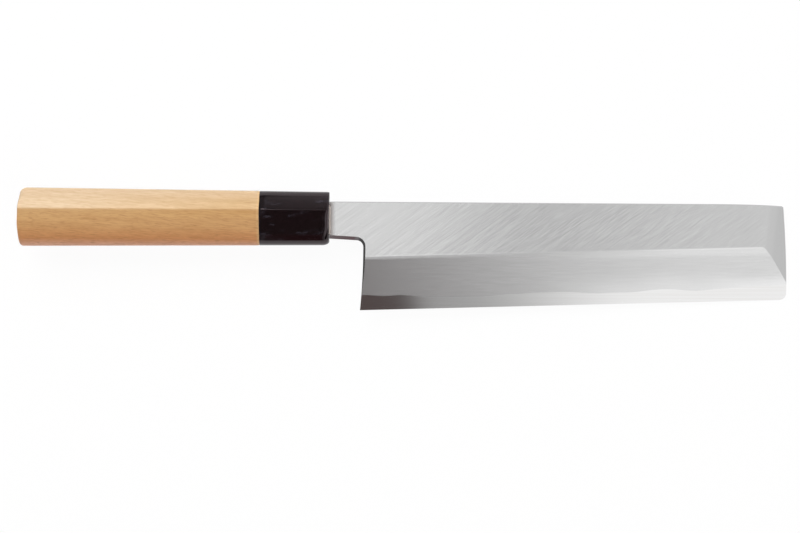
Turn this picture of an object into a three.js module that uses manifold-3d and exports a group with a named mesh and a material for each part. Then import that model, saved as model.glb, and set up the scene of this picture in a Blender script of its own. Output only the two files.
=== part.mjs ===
// Usuba: a Japanese single-bevel vegetable knife with a square tip and a chestnut-section wooden handle.
//
// The knife lies on its back with the bevelled face up: +X runs from the butt to the tip, +Y from the edge
// to the spine and +Z out of the bevelled face. Every shape below is drawn in millimetres from one point:
// X = 0 is the front face of the ferrule, and Y = 0 and Z = 0 are the axis of the handle.
// The exported group then puts the bottom centre of the knife's bounding box at the origin.
import * as THREE from "three";
import { mergeVertices } from "three/addons/utils/BufferGeometryUtils.js";
import Module from "manifold-3d";

// Blade in plan
const BLADE_REACH = 210; // ferrule face to the end of the blade
const SPINE_RISE = 7.8; // axis up to the straight spine
const SPINE_DROP = 0.9; // fall of the spine towards the tip
const SPINE_DROP_LENGTH = 40; // over this much of its end
const HEEL_DEPTH = 42; // axis down to the edge at the heel
const EDGE_RISE = 6.1; // climb of the straight edge from the heel to the tip
const HEEL_AHEAD = 14.2; // ferrule face to the heel's corner
const HEEL_LEAN = 1.4; // how far the heel's wall leans forward, from its corner up to the neck
const NECK_DEPTH = 9.85; // axis down to the underside of the neck, at its fillet
const NECK_TAPER = 0.65; // the neck is this much shallower at its shoulder
const NECK_RADIUS = 3.2; // fillet between the neck and the heel
const TIP_LEAN = 1.75; // how far the end of the blade leans back at the spine
const TIP_RADIUS = 3; // corner between the edge and the end
const TIP_SPINE_RADIUS = 0.9; // corner between the end and the spine

// Blade in section
const NECK_THICKNESS = 4; // at the ferrule
const TIP_THICKNESS = 3; // at the end, before the end bevel
const STEEL_SHARE = 0.26; // of the thickness, from the back face to the weld
const BEVEL_WIDTH = 24.5; // edge up to the ridge line, in plan
const EDGE_LAND = 0.1; // thickness left at the sharpened edge
const SPINE_CHAMFER = 0.4;
const END_BEVEL_LENGTH = 7.1; // end of the blade back to the start of the end bevel, at the spine
const END_BEVEL_SLANT = 2.5; // the start lies this much further back at the ridge line
const END_THICKNESS = 1.8; // left by the end bevel at the end, level with the axis
const NECK_BEVEL = 1.6; // width of the filed bevel along the neck
const NECK_BEVEL_DEPTH = 1.2; // and its depth down the wall
const HEEL_BEVEL = 0.8; // its width at the top of the heel, from where it fades out
const HOLLOW_DEPTH = 0.45; // hollow grind of the back face
const HOLLOW_LAND_EDGE = 1.6; // flat left between the hollow and the edge
const HOLLOW_LAND_SPINE = 3.2; // and the spine
const HOLLOW_LAND_HEEL = 2.4; // and the heel
const HOLLOW_LAND_TIP = 3; // and the end
const WELD_START = 6; // ferrule face to the rear end of the steel layer

// Tang, forged in one with the iron body
const BUTT_SOLID = 43.5; // wood left whole behind the end of the tang
const TANG_RISE = 5.6; // above the axis, at the shoulder
const TANG_DEPTH = 6.8; // below the axis, at the shoulder
const TANG_THICKNESS = 3.4; // at the shoulder
const TANG_END_RISE = 2.4;
const TANG_END_DEPTH = 2.8;
const TANG_END_THICKNESS = 2.4;

// Handle and ferrule, shaped together so that their outsides run through
const HANDLE_LENGTH = 142; // wood and ferrule together
const FERRULE_LENGTH = 31.9;
const FRONT_HEIGHT = 24.5;
const BUTT_HEIGHT = 26.85;
const FRONT_PALM = 10.6; // axis out to the ridge, at the front
const BUTT_PALM = 11.6;
const FRONT_BACK = 9.8; // axis out to the round side, at the front
const BUTT_BACK = 10.8;
const RIDGE_RISE = 3.85; // axis up to the ridge
const UPPER_FLANK_ANGLE = 38; // degrees from the blade's plane to the flank above the ridge
const LOWER_FLANK_ANGLE = 10; // and to the flank below it
const UPPER_FLATNESS = 1.05; // straight pull of the upper flank from the ridge, as a share of its height
const LOWER_FLATNESS = 0.5; // and of the lower flank's
const UPPER_FULLNESS = 1 / 3; // pull of the upper side's round towards the ridge, as a share of the palm
const LOWER_FULLNESS = 0.55; // and of the lower side's
const BUTT_ROUND = 1; // rim of the butt
const BUTT_CROWN = 0.5; // rise of the domed butt within that rim
const FERRULE_ROUND = 0.9; // rim of the ferrule's front

// Joints inside the handle
const TENON_CAP = 1.6; // wood of the tenon above and below the tang
const TENON_CHEEK = 4.1; // wood of the tenon on each side of the tang
const BORE_FLARE = 1.2; // the ferrule's bore is this much taller and wider at its back
const SEAL_DEPTH = 2.5; // ferrule face back to the end of the tenon
const SEAL_PROUD = 0.6; // ferrule face out to the shoulder of the neck
const FIT = 0.3; // clearance of every sunk joint, all round
const MORTISE_SPARE = 2; // room past the end of the tang

// How finely the curves are cut
const FLANK_STEPS = 16; // on each flank of the handle
const BACK_STEPS = 32; // on its round back
const ROUND_STEPS = 5;
const CROWN_STEPS = 4;
const BORE_SIDES = 48;
const BLADE_STEPS = 20;
const HOLLOW_STEPS = 40;
const HOLLOW_ROWS = 16;
const CURVE_STEPS = 12;

const mix = THREE.MathUtils.lerp;
const point = (x, y, z) => new THREE.Vector3(x, y, z);

const weld = (STEEL_SHARE - 0.5) * NECK_THICKNESS; // height of the forge weld, a plane through the blade
const tangLength = HANDLE_LENGTH - BUTT_SOLID;
const past = NECK_THICKNESS / 2; // how far a cut runs past what it cuts
const wide = 2 * BLADE_REACH; // clear of the whole knife

const wasm = await Module();
wasm.setup();

// A closed geometry as a solid that can be joined and cut.
function solid(geometry) {
  const bare = geometry.clone();
  bare.deleteAttribute("normal");
  bare.deleteAttribute("uv");
  const merged = mergeVertices(bare, 1e-5);
  return new wasm.Manifold(
    new wasm.Mesh({
      numProp: 3,
      vertProperties: new Float32Array(merged.attributes.position.array),
      triVerts: new Uint32Array(merged.index.array),
    }),
  );
}

// A solid as a named mesh.
function piece(name, made, material) {
  const { vertProperties, triVerts } = made.getMesh();
  const indexed = new THREE.BufferGeometry();
  indexed.setAttribute("position", new THREE.BufferAttribute(vertProperties, 3));
  indexed.setIndex(new THREE.BufferAttribute(triVerts, 1));
  const geometry = indexed.toNonIndexed();
  geometry.computeVertexNormals();
  const mesh = new THREE.Mesh(geometry, material);
  mesh.name = name;
  return mesh;
}

// A solid skinned over convex rings of equally many points, each anticlockwise as seen from the ring ahead.
function loft(rings) {
  const count = rings[0].length;
  const corners = [];
  const triangle = (a, b, c) => corners.push(...a.toArray(), ...b.toArray(), ...c.toArray());
  rings.slice(1).forEach((ahead, i) => {
    const behind = rings[i];
    for (let j = 0; j < count; j++) {
      const k = (j + 1) % count;
      triangle(behind[j], behind[k], ahead[k]);
      triangle(behind[j], ahead[k], ahead[j]);
    }
  });
  const first = rings[0];
  const last = rings[rings.length - 1];
  for (let j = 1; j + 1 < count; j++) {
    triangle(first[0], first[j + 1], first[j]);
    triangle(last[0], last[j], last[j + 1]);
  }
  const geometry = new THREE.BufferGeometry();
  geometry.setAttribute("position", new THREE.Float32BufferAttribute(corners, 3));
  return solid(geometry);
}

// A solid between two heights over a plan outline.
function slab(shape, low, high) {
  const settings = { depth: high - low, bevelEnabled: false, curveSegments: CURVE_STEPS };
  return solid(new THREE.ExtrudeGeometry(shape, settings).translate(0, 0, low));
}

// All that lies outside a plane through three points, which turn anticlockwise as seen from out there.
function outside(a, b, c) {
  const along = b.clone().sub(a).normalize();
  const out = along.clone().cross(c.clone().sub(a)).normalize();
  const across = out.clone().cross(along);
  const place = new THREE.Matrix4().makeBasis(along, across, out).setPosition(a);
  return solid(new THREE.BoxGeometry(wide, wide, wide).translate(0, 0, wide / 2).applyMatrix4(place));
}

// The lines of the blade along its length. Both layers thin together, so the weld stays a plane.

const thickness = (x) => mix(NECK_THICKNESS, TIP_THICKNESS, x / BLADE_REACH);
const backFace = (x) => weld - STEEL_SHARE * thickness(x);
const frontFace = (x) => weld + (1 - STEEL_SHARE) * thickness(x);
const edgeShare = (x) => (x - HEEL_AHEAD) / (BLADE_REACH - HEEL_AHEAD);
const edgeLine = (x) => edgeShare(x) * EDGE_RISE - HEEL_DEPTH;
const ridgeLine = (x) => edgeLine(x) + BEVEL_WIDTH;

function spineLine(x) {
  const into = Math.max(0, x - BLADE_REACH + SPINE_DROP_LENGTH) / SPINE_DROP_LENGTH;
  return SPINE_RISE - SPINE_DROP * into ** 3;
}

// Height of the bevelled face: flat above the ridge line, and ruled from there down to the edge.
function bevelFace(x, y) {
  const climb = (y - edgeLine(x)) / BEVEL_WIDTH;
  return Math.min(frontFace(x), mix(backFace(x) + EDGE_LAND, frontFace(x), climb));
}

// Where the weld comes out on the bevel, as a line between the two layers.
function weldLine(x) {
  const edge = backFace(x) + EDGE_LAND;
  return edgeLine(x) + (BEVEL_WIDTH * (weld - edge)) / (frontFace(x) - edge);
}

// Blade

// One cross-section of the blade as ground, before its ends are cut.
function bladeRing(x) {
  const spine = spineLine(x);
  const back = backFace(x);
  const front = frontFace(x);
  return [
    point(x, spine, back + SPINE_CHAMFER),
    point(x, spine, front - SPINE_CHAMFER),
    point(x, spine - SPINE_CHAMFER, front),
    point(x, ridgeLine(x), front),
    point(x, weldLine(x), weld),
    point(x, edgeLine(x), back + EDGE_LAND),
    point(x, edgeLine(x), back),
    point(x, spine - SPINE_CHAMFER, back),
  ];
}

// Underside of the neck, its fillet and the wall of the heel, from the shoulder down to the edge.
function neckCurves() {
  const wall = HEEL_AHEAD + HEEL_LEAN;
  const filletX = wall - NECK_RADIUS;
  const filletY = -NECK_DEPTH - NECK_RADIUS;
  return {
    neck: new THREE.LineCurve(
      new THREE.Vector2(SEAL_PROUD, NECK_TAPER - NECK_DEPTH),
      new THREE.Vector2(filletX, -NECK_DEPTH),
    ),
    fillet: new THREE.EllipseCurve(filletX, filletY, NECK_RADIUS, NECK_RADIUS, Math.PI / 2, 0, true),
    heel: new THREE.QuadraticBezierCurve(
      new THREE.Vector2(wall, filletY),
      new THREE.Vector2(wall, mix(filletY, -HEEL_DEPTH, 0.5)),
      new THREE.Vector2(HEEL_AHEAD, -HEEL_DEPTH),
    ),
  };
}

// Plan outline that cuts the shoulder, neck, heel and end. It clears the edge and the spine between them.
function bladeOutline() {
  const below = -HEEL_DEPTH - past;
  const above = SPINE_RISE + past;
  const edgeCorner = BLADE_REACH - TIP_RADIUS;
  const endFoot = edgeLine(BLADE_REACH) + TIP_RADIUS;
  const endX = BLADE_REACH - TIP_LEAN;
  const endTop = spineLine(endX);
  const spineCorner = endX - TIP_SPINE_RADIUS;
  const { neck, fillet, heel } = neckCurves();
  const outline = new THREE.Shape([
    neck.v1,
    ...fillet.getPoints(CURVE_STEPS),
    ...heel.getPoints(CURVE_STEPS).slice(1),
  ]);
  outline.lineTo(HEEL_AHEAD, below);
  outline.lineTo(edgeCorner, below);
  outline.lineTo(edgeCorner, edgeLine(edgeCorner));
  outline.quadraticCurveTo(BLADE_REACH, edgeLine(BLADE_REACH), BLADE_REACH, endFoot);
  outline.quadraticCurveTo(BLADE_REACH, mix(endFoot, endTop, 0.5), endX, endTop - TIP_SPINE_RADIUS);
  outline.quadraticCurveTo(endX, endTop, spineCorner, spineLine(spineCorner));
  outline.lineTo(spineCorner, above);
  outline.lineTo(SEAL_PROUD, above);
  return outline;
}

// The end bevel: a plane that falls from a slanted line across the flat to the end of the blade.
function endBevelCut() {
  const atSpine = BLADE_REACH - TIP_LEAN - END_BEVEL_LENGTH;
  const atRidge = atSpine - END_BEVEL_SLANT;
  return outside(
    point(atSpine, spineLine(atSpine), frontFace(atSpine)),
    point(atRidge, ridgeLine(atRidge), frontFace(atRidge)),
    point(BLADE_REACH, 0, backFace(BLADE_REACH) + END_THICKNESS),
  );
}

// The filed bevel on the front face: even along the neck, narrowing round the fillet, fading down the heel.
function neckBevelCut() {
  const { neck, fillet, heel } = neckCurves();
  const ring = (curve, share, width) => {
    const place = curve.getPoint(share);
    const heading = curve.getTangent(share);
    const inward = new THREE.Vector2(-heading.y, heading.x);
    const inner = place.clone().addScaledVector(inward, 2 * width);
    const outer = place.clone().addScaledVector(inward, -width);
    const face = bevelFace(place.x, place.y);
    const depth = (width * NECK_BEVEL_DEPTH) / NECK_BEVEL;
    return [
      point(inner.x, inner.y, face + depth),
      point(outer.x, outer.y, face + depth),
      point(outer.x, outer.y, face - 2 * depth),
    ];
  };
  const start = ring(neck, 0, NECK_BEVEL).map((p) => p.setX(p.x - past));
  const rings = [start];
  for (let i = 0; i < CURVE_STEPS; i++) {
    const share = i / CURVE_STEPS;
    rings.push(ring(fillet, share, mix(NECK_BEVEL, HEEL_BEVEL, share)));
  }
  for (let i = 0; i < 2 * CURVE_STEPS; i++) {
    const share = i / (2 * CURVE_STEPS);
    rings.push(ring(heel, share, HEEL_BEVEL * (1 - share)));
  }
  return loft(rings);
}

// The hollow grind of the back face: a shallow trough that runs out at both ends.
function hollowCut() {
  const start = HEEL_AHEAD + HEEL_LEAN + HOLLOW_LAND_HEEL;
  const end = BLADE_REACH - TIP_LEAN - HOLLOW_LAND_TIP;
  const rings = [];
  for (let i = 0; i <= HOLLOW_STEPS; i++) {
    const along = Math.sin(mix(-0.49, 0.49, i / HOLLOW_STEPS) * Math.PI);
    const x = mix(start, end, (along + 1) / 2);
    const fullness = (1 - along ** 20) ** 0.4;
    const low = edgeLine(x) + HOLLOW_LAND_EDGE;
    const high = spineLine(x) - HOLLOW_LAND_SPINE;
    const middle = (low + high) / 2;
    const half = ((high - low) / 2) * fullness;
    const back = backFace(x);
    const ring = [point(x, middle - half, back - past), point(x, middle + half, back - past)];
    for (let j = 0; j <= HOLLOW_ROWS; j++) {
      const across = 1 - (2 * j) / HOLLOW_ROWS;
      const rise = HOLLOW_DEPTH * fullness ** 2 * (1 - across ** 2);
      ring.push(point(x, middle + half * across, back + rise));
    }
    rings.push(ring);
  }
  return loft(rings);
}

// Both layers of the blade together, as forged and ground.
function groundBlade() {
  const rings = [];
  for (let i = 0; i <= BLADE_STEPS; i++) {
    rings.push(bladeRing(mix(-past, BLADE_REACH + past, i / BLADE_STEPS)));
  }
  return loft(rings)
    .intersect(slab(bladeOutline(), -NECK_THICKNESS, NECK_THICKNESS))
    .subtract(endBevelCut())
    .subtract(neckBevelCut())
    .subtract(hollowCut());
}

// The tang, or with a clearance the mortise that takes it.
function tang(clearance, spare, front) {
  const ring = (x, rise, depth, thick) => {
    const top = rise + clearance;
    const bottom = -depth - clearance;
    const half = thick / 2 + clearance;
    return [point(x, top, -half), point(x, top, half), point(x, bottom, half), point(x, bottom, -half)];
  };
  return loft([
    ring(-tangLength - spare, TANG_END_RISE, TANG_END_DEPTH, TANG_END_THICKNESS),
    ring(0, TANG_RISE, TANG_DEPTH, TANG_THICKNESS),
    ring(front, TANG_RISE, TANG_DEPTH, TANG_THICKNESS),
  ]);
}

// Handle

// The chestnut section: round at the back, with two flatter flanks that meet in a ridge on the palm side.
function handleRing(x, shrink) {
  const along = -x / HANDLE_LENGTH;
  const half = mix(FRONT_HEIGHT, BUTT_HEIGHT, along) / 2 - shrink;
  const palm = mix(FRONT_PALM, BUTT_PALM, along) - shrink;
  const back = mix(FRONT_BACK, BUTT_BACK, along) - shrink;
  const steep = THREE.MathUtils.degToRad(UPPER_FLANK_ANGLE);
  const slight = THREE.MathUtils.degToRad(LOWER_FLANK_ANGLE);
  const up = UPPER_FLATNESS * (half - RIDGE_RISE);
  const down = LOWER_FLATNESS * (half + RIDGE_RISE);
  const top = new THREE.Vector2(half, 0);
  const ridge = new THREE.Vector2(RIDGE_RISE, palm);
  const bottom = new THREE.Vector2(-half, 0);
  const upper = new THREE.CubicBezierCurve(
    top,
    new THREE.Vector2(half, UPPER_FULLNESS * palm),
    new THREE.Vector2(RIDGE_RISE + up * Math.cos(steep), palm - up * Math.sin(steep)),
    ridge,
  );
  const lower = new THREE.CubicBezierCurve(
    ridge,
    new THREE.Vector2(RIDGE_RISE - down * Math.cos(slight), palm - down * Math.sin(slight)),
    new THREE.Vector2(-half, LOWER_FULLNESS * palm),
    bottom,
  );
  const round = new THREE.EllipseCurve(0, 0, half, back, Math.PI, 2 * Math.PI);
  const flanks = [...upper.getPoints(FLANK_STEPS).slice(0, -1), ...lower.getPoints(FLANK_STEPS).slice(0, -1)];
  const outline = [...flanks, ...round.getPoints(BACK_STEPS).slice(0, -1)];
  return outline.map((p) => point(x, p.x, p.y));
}

// Rings that round an end over, from its face inwards; ahead is 1 at the front and -1 at the butt.
function roundedEnd(face, radius, ahead) {
  const rings = [];
  for (let i = 0; i <= ROUND_STEPS; i++) {
    const turn = (i / ROUND_STEPS) * (Math.PI / 2);
    const inset = radius * (1 - Math.cos(turn));
    rings.push(handleRing(face - ahead * inset, radius * (1 - Math.sin(turn))));
  }
  return rings;
}

// Rings of the domed butt within its rim, from the middle out.
function buttCrown() {
  const rings = [];
  for (let i = 0; i < CROWN_STEPS; i++) {
    const share = i / CROWN_STEPS;
    rings.push(handleRing(BUTT_CROWN * share ** 2 - HANDLE_LENGTH, mix(BUTT_BACK / 2, BUTT_ROUND, share)));
  }
  return rings;
}

// An oval section of the ferrule's tapered bore, centred on the tang and less a clearance.
function boreRing(x, clearance) {
  const flare = (BORE_FLARE * -x) / FERRULE_LENGTH;
  const tenonHeight = TANG_RISE + TANG_DEPTH + 2 * (FIT + TENON_CAP);
  const tenonWidth = TANG_THICKNESS + 2 * (FIT + TENON_CHEEK);
  const high = (tenonHeight + flare) / 2 + FIT - clearance;
  const broad = (tenonWidth + flare) / 2 + FIT - clearance;
  const oval = new THREE.EllipseCurve((TANG_RISE - TANG_DEPTH) / 2, 0, high, broad);
  return oval
    .getPoints(BORE_SIDES)
    .slice(0, -1)
    .map((p) => point(x, p.x, p.y));
}

// The wood, with a tenon that carries the ferrule and a tapered mortise for the tang.
function woodHandle() {
  const butt = [...buttCrown(), ...roundedEnd(BUTT_CROWN - HANDLE_LENGTH, BUTT_ROUND, -1)];
  const grip = loft([...butt, handleRing(-FERRULE_LENGTH, 0)]);
  const tenon = loft([boreRing(-FERRULE_LENGTH - past, FIT), boreRing(-SEAL_DEPTH, FIT)]);
  return grip.add(tenon).subtract(tang(FIT, MORTISE_SPARE, past));
}

function hornFerrule() {
  const front = roundedEnd(0, FERRULE_ROUND, 1).reverse();
  const bore = loft([boreRing(-FERRULE_LENGTH - past, 0), boreRing(past, 0)]);
  return loft([handleRing(-FERRULE_LENGTH, 0), ...front]).subtract(bore);
}

// The resin plug that closes the ferrule's mouth ahead of the tenon and beds the shoulder of the neck.
function tangSeal() {
  const mouth = boreRing(0, FIT);
  const ring = (x) => mouth.map((p) => point(x, p.y, p.z));
  return loft([ring(-SEAL_DEPTH), ring(SEAL_PROUD)]).subtract(tang(FIT, 0, SEAL_PROUD + past));
}

// Assembly

const finishes = {
  iron: new THREE.MeshStandardMaterial({ color: 0xb9b9ba, roughness: 0.42, metalness: 1 }),
  steel: new THREE.MeshStandardMaterial({ color: 0xc9c9c8, roughness: 0.22, metalness: 1 }),
  magnolia: new THREE.MeshStandardMaterial({ color: 0xd9ae7c, roughness: 0.6, metalness: 0 }),
  horn: new THREE.MeshStandardMaterial({ color: 0x171315, roughness: 0.16, metalness: 0 }),
  resin: new THREE.MeshStandardMaterial({ color: 0xb8a393, roughness: 0.55, metalness: 0 }),
};

const ground = groundBlade();
const underWeld = new THREE.BoxGeometry(wide, wide, wide);
const steelZone = solid(underWeld.translate(WELD_START + wide / 2, 0, weld - wide / 2));
const ironBody = ground.subtract(steelZone).add(tang(0, 0, SEAL_PROUD + past));

const blade = new THREE.Group();
blade.add(piece("iron_body", ironBody, finishes.iron));
blade.add(piece("steel_edge", ground.intersect(steelZone), finishes.steel));

const handle = new THREE.Group();
handle.add(piece("wood_handle", woodHandle(), finishes.magnolia));
handle.add(piece("horn_ferrule", hornFerrule(), finishes.horn));
handle.add(piece("tang_seal", tangSeal(), finishes.resin));

const knife = new THREE.Group();
knife.add(blade, handle);
const bounds = new THREE.Box3().setFromObject(knife);
const middle = bounds.getCenter(new THREE.Vector3());
knife.position.set(-middle.x, -middle.y, -bounds.min.z);

export default knife;
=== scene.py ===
"""Looks of a usuba knife that lies bevel side up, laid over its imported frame.

Sizes are in millimetres from the point where the handle's axis leaves the ferrule: x runs to the tip,
y to the spine and z out of the bevelled face. Meshes are written in metres, in the row frame.
"""

import logging
import math
from dataclasses import dataclass
from enum import Enum
from typing import Any

import bmesh
import bpy
import numpy as np
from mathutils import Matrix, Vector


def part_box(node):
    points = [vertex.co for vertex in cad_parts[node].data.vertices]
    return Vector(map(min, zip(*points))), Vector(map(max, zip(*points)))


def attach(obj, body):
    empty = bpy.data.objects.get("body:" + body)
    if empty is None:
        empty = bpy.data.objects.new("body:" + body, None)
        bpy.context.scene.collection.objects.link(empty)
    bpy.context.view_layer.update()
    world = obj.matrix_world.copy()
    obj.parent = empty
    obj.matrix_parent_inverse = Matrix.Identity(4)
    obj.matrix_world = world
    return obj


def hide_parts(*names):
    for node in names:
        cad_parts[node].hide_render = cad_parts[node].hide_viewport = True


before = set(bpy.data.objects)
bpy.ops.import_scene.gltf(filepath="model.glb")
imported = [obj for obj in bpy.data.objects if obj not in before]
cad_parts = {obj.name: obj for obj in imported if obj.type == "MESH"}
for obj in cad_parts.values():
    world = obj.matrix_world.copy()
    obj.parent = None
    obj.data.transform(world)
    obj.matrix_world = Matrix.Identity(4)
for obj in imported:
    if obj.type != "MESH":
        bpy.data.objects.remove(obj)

Array = np.ndarray
Pair = tuple[float, float]
Triple = tuple[float, float, float]
MM = 0.001
# Points closer than this many metres are merged.
SEAM = 1e-6
# Keeps divisors above zero.
TINY = 1e-6
# Edges of the floor and the tent that are sharper than this many degrees stay sharp.
STAGE_CREASE = 30.0
WHITE = (1.0, 1.0, 1.0, 1.0)
log = logging.getLogger("usuba")


class Grind(Enum):
    """How a face of the blade was finished, as shares stoned, filed and honed.

    Where all three are 0, the wheel's grind shows.
    """

    WHEEL = (0.0, 0.0, 0.0)
    STONE = (1.0, 0.0, 0.0)
    FILE = (0.0, 1.0, 0.0)


def linear(code: str) -> tuple[float, float, float, float]:
    """Turns an sRGB colour into the linear one that shaders take.

    Args:
        code: The colour as six hex digits after a hash.

    Returns:
        Linear red, green, blue and an alpha of 1.
    """
    parts = np.array([int(code[i : i + 2], 16) for i in (1, 3, 5)]) / 255
    light = np.where(parts <= 0.04045, parts / 12.92, ((parts + 0.055) / 1.055) ** 2.4)
    return (*light.tolist(), 1.0)


def add_node(
    tree: bpy.types.NodeTree, kind: str, inputs: dict | None = None, **settings: Any
) -> bpy.types.Node:
    """Adds one node with its settings, values and links.

    Args:
        tree: The node tree that it goes into.
        kind: The node's class name.
        inputs: Input names or numbers, each with a socket to link or a value to set.
        settings: The node's own properties. stops sets a colour ramp's places and colours.

    Returns:
        The node.
    """
    node = tree.nodes.new(kind)
    for place, (position, code) in enumerate(settings.pop("stops", ())):
        # A new ramp already has two stops.
        ramp = node.color_ramp.elements
        stop = ramp[place] if place < 2 else ramp.new(position)
        stop.position, stop.color = position, linear(code)
    for key, value in settings.items():
        setattr(node, key, value)
    for key, value in (inputs or {}).items():
        if isinstance(value, bpy.types.NodeSocket):
            tree.links.new(value, node.inputs[key])
        else:
            node.inputs[key].default_value = value
    return node


def new_material(name: str) -> tuple[bpy.types.Material, bpy.types.NodeTree, bpy.types.NodeSocket]:
    """Starts an empty node material.

    Args:
        name: The material's name.

    Returns:
        The material, its tree and the surface input of its output node.
    """
    material = bpy.data.materials.new(name)
    material.use_nodes = True
    tree = material.node_tree
    tree.nodes.clear()
    return material, tree, add_node(tree, "ShaderNodeOutputMaterial").inputs["Surface"]


def strokes(
    tree: bpy.types.NodeTree,
    length: float,
    width: float,
    turn: float = 0.0,
    deep: float = 0.0,
    **settings: float,
) -> bpy.types.NodeSocket:
    """Adds noise drawn out into strokes in the plane of the blade.

    Args:
        tree: The node tree.
        length: Length of a stroke in millimetres.
        width: Distance across a stroke in millimetres.
        turn: The strokes' angle from the length of the knife, in degrees.
        deep: How far a stroke reaches out of that plane in millimetres, or 0 for its width.
        settings: Detail and Roughness of the noise.

    Returns:
        A socket with values about 0.5.
    """
    place = add_node(tree, "ShaderNodeTexCoord").outputs["Object"]
    size = (length * MM, width * MM, (deep or width) * MM)
    inputs = {"Vector": place, "Rotation": (0, 0, math.radians(turn)), "Scale": size}
    drawn = add_node(tree, "ShaderNodeMapping", inputs, vector_type="TEXTURE").outputs[0]
    noise = add_node(tree, "ShaderNodeTexNoise", {"Vector": drawn, "Scale": 1.0, **settings})
    return noise.outputs["Fac"]


def soft_lower(a: Array, b: Array, ease: Array | float) -> Array:
    """The lower of two heights, rounded where they cross.

    Less than ease apart, the lower one is taken down by (ease - gap) squared over 4 ease.

    Args:
        a: Heights.
        b: Heights.
        ease: Gap between the two at which the rounding starts.

    Returns:
        The eased heights.
    """
    near = np.maximum(ease - np.abs(a - b), 0)
    return np.minimum(a, b) - near**2 / (4 * ease)


def smooth(value: Array) -> Array:
    """Eases 0 to 1 with level ends."""
    held = np.clip(value, 0, 1)
    return held * held * (3 - 2 * held)


def beyond(value: Array, start: float, soft: float) -> Array:
    """0 up to a value, and 1 from a soft margin past it."""
    return smooth((value - start) / soft)


def band(value: Array, low: float, high: float, soft: float) -> Array:
    """1 between two values and 0 outside them, eased over a soft margin past each."""
    return smooth((value - low + soft) / soft) * smooth((high + soft - value) / soft)


def bezier(control: Array, share: Array) -> Array:
    """Points on Bezier curves of any degree, by repeated halfway steps between neighbours.

    Args:
        control: Control points, shaped (..., points, axes).
        share: Shares along the curves.

    Returns:
        Points shaped (..., shares, axes).
    """
    held = np.repeat(control[..., None, :, :], len(share), axis=-3)
    step = share[:, None, None]
    for _ in range(control.shape[-2] - 1):
        held = held[..., :-1, :] + (held[..., 1:, :] - held[..., :-1, :]) * step
    return held[..., 0, :]


def along(points: Array, places: Array) -> Array:
    """Points at given shares of a polyline's own length.

    Args:
        points: The polyline, shaped (points, axes).
        places: Shares of its length, 0 to 1.

    Returns:
        Points shaped (places, axes).
    """
    run = np.concatenate([[0], np.cumsum(np.linalg.norm(np.diff(points, axis=0), axis=1))])
    return np.stack([np.interp(places * run[-1], run, axis) for axis in points.T], axis=-1)


@dataclass
class Patch:
    """A grid of points that becomes quads.

    points is shaped (rows, columns, 3). loop joins the last row to the first, and wrap the last column to
    the first. grind holds the shares of a Grind, for the whole grid or for each point.
    """

    points: Array
    loop: bool = False
    wrap: bool = False
    grind: Array | Triple = Grind.WHEEL.value

    def quads(self) -> Array:
        """Corner numbers of the quads: each point with its right, far right and far neighbour."""
        number = np.arange(self.points[..., 0].size).reshape(self.points.shape[:2])
        number = np.vstack([number, number[:1]]) if self.loop else number
        number = np.hstack([number, number[:, :1]]) if self.wrap else number
        corners = (number[:-1, :-1], number[:-1, 1:], number[1:, 1:], number[1:, :-1])
        return np.stack(corners, axis=-1).reshape(-1, 4)


def make_piece(name: str, patches: list[Patch], origin: Array, crease: float) -> bpy.types.Object:
    """Joins grids of points into one closed mesh with its faces outwards.

    Points at the same place are merged, so neighbouring grids share their borders and poles close.

    Args:
        name: The piece's name.
        patches: The grids, in millimetres.
        origin: Where the millimetres start, in metres in the row frame.
        crease: Edges sharper than this many degrees stay sharp.

    Returns:
        The object, at the origin.
    """
    sizes = [patch.points[..., 0].size for patch in patches]
    starts = np.concatenate([[0], np.cumsum(sizes)[:-1]])
    points = np.concatenate([patch.points.reshape(-1, 3) for patch in patches]) * MM + origin
    faces = np.concatenate([patch.quads() + start for patch, start in zip(patches, starts)])
    shares = [np.broadcast_to(patch.grind, patch.points.shape).reshape(-1, 3) for patch in patches]
    grind = np.concatenate(shares)
    mesh = bpy.data.meshes.new(name)
    mesh.from_pydata(points.tolist(), [], faces.tolist())
    finish = mesh.attributes.new("grind", "FLOAT_VECTOR", "CORNER")
    finish.data.foreach_set("vector", grind[faces].ravel().astype(np.float32))
    shell = bmesh.new()
    shell.from_mesh(mesh)
    bmesh.ops.remove_doubles(shell, verts=shell.verts, dist=SEAM)
    bmesh.ops.recalc_face_normals(shell, faces=shell.faces)
    shell.to_mesh(mesh)
    shell.free()
    mesh.shade_smooth()
    mesh.set_sharp_from_angle(angle=math.radians(crease))
    piece = bpy.data.objects.new(name, mesh)
    bpy.context.scene.collection.objects.link(piece)
    return piece


def dress(piece: bpy.types.Object, material: bpy.types.Material, node: str) -> None:
    """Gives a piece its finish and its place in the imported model.

    Args:
        piece: The piece.
        material: Its finish.
        node: The CAD node that it stands for.
    """
    piece.data.materials.append(material)
    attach(piece, "root")
    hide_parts(node)
    count = len(piece.data.polygons)
    log.info("%s stands for %s with %d faces in %s", piece.name, node, count, material.name)


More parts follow.
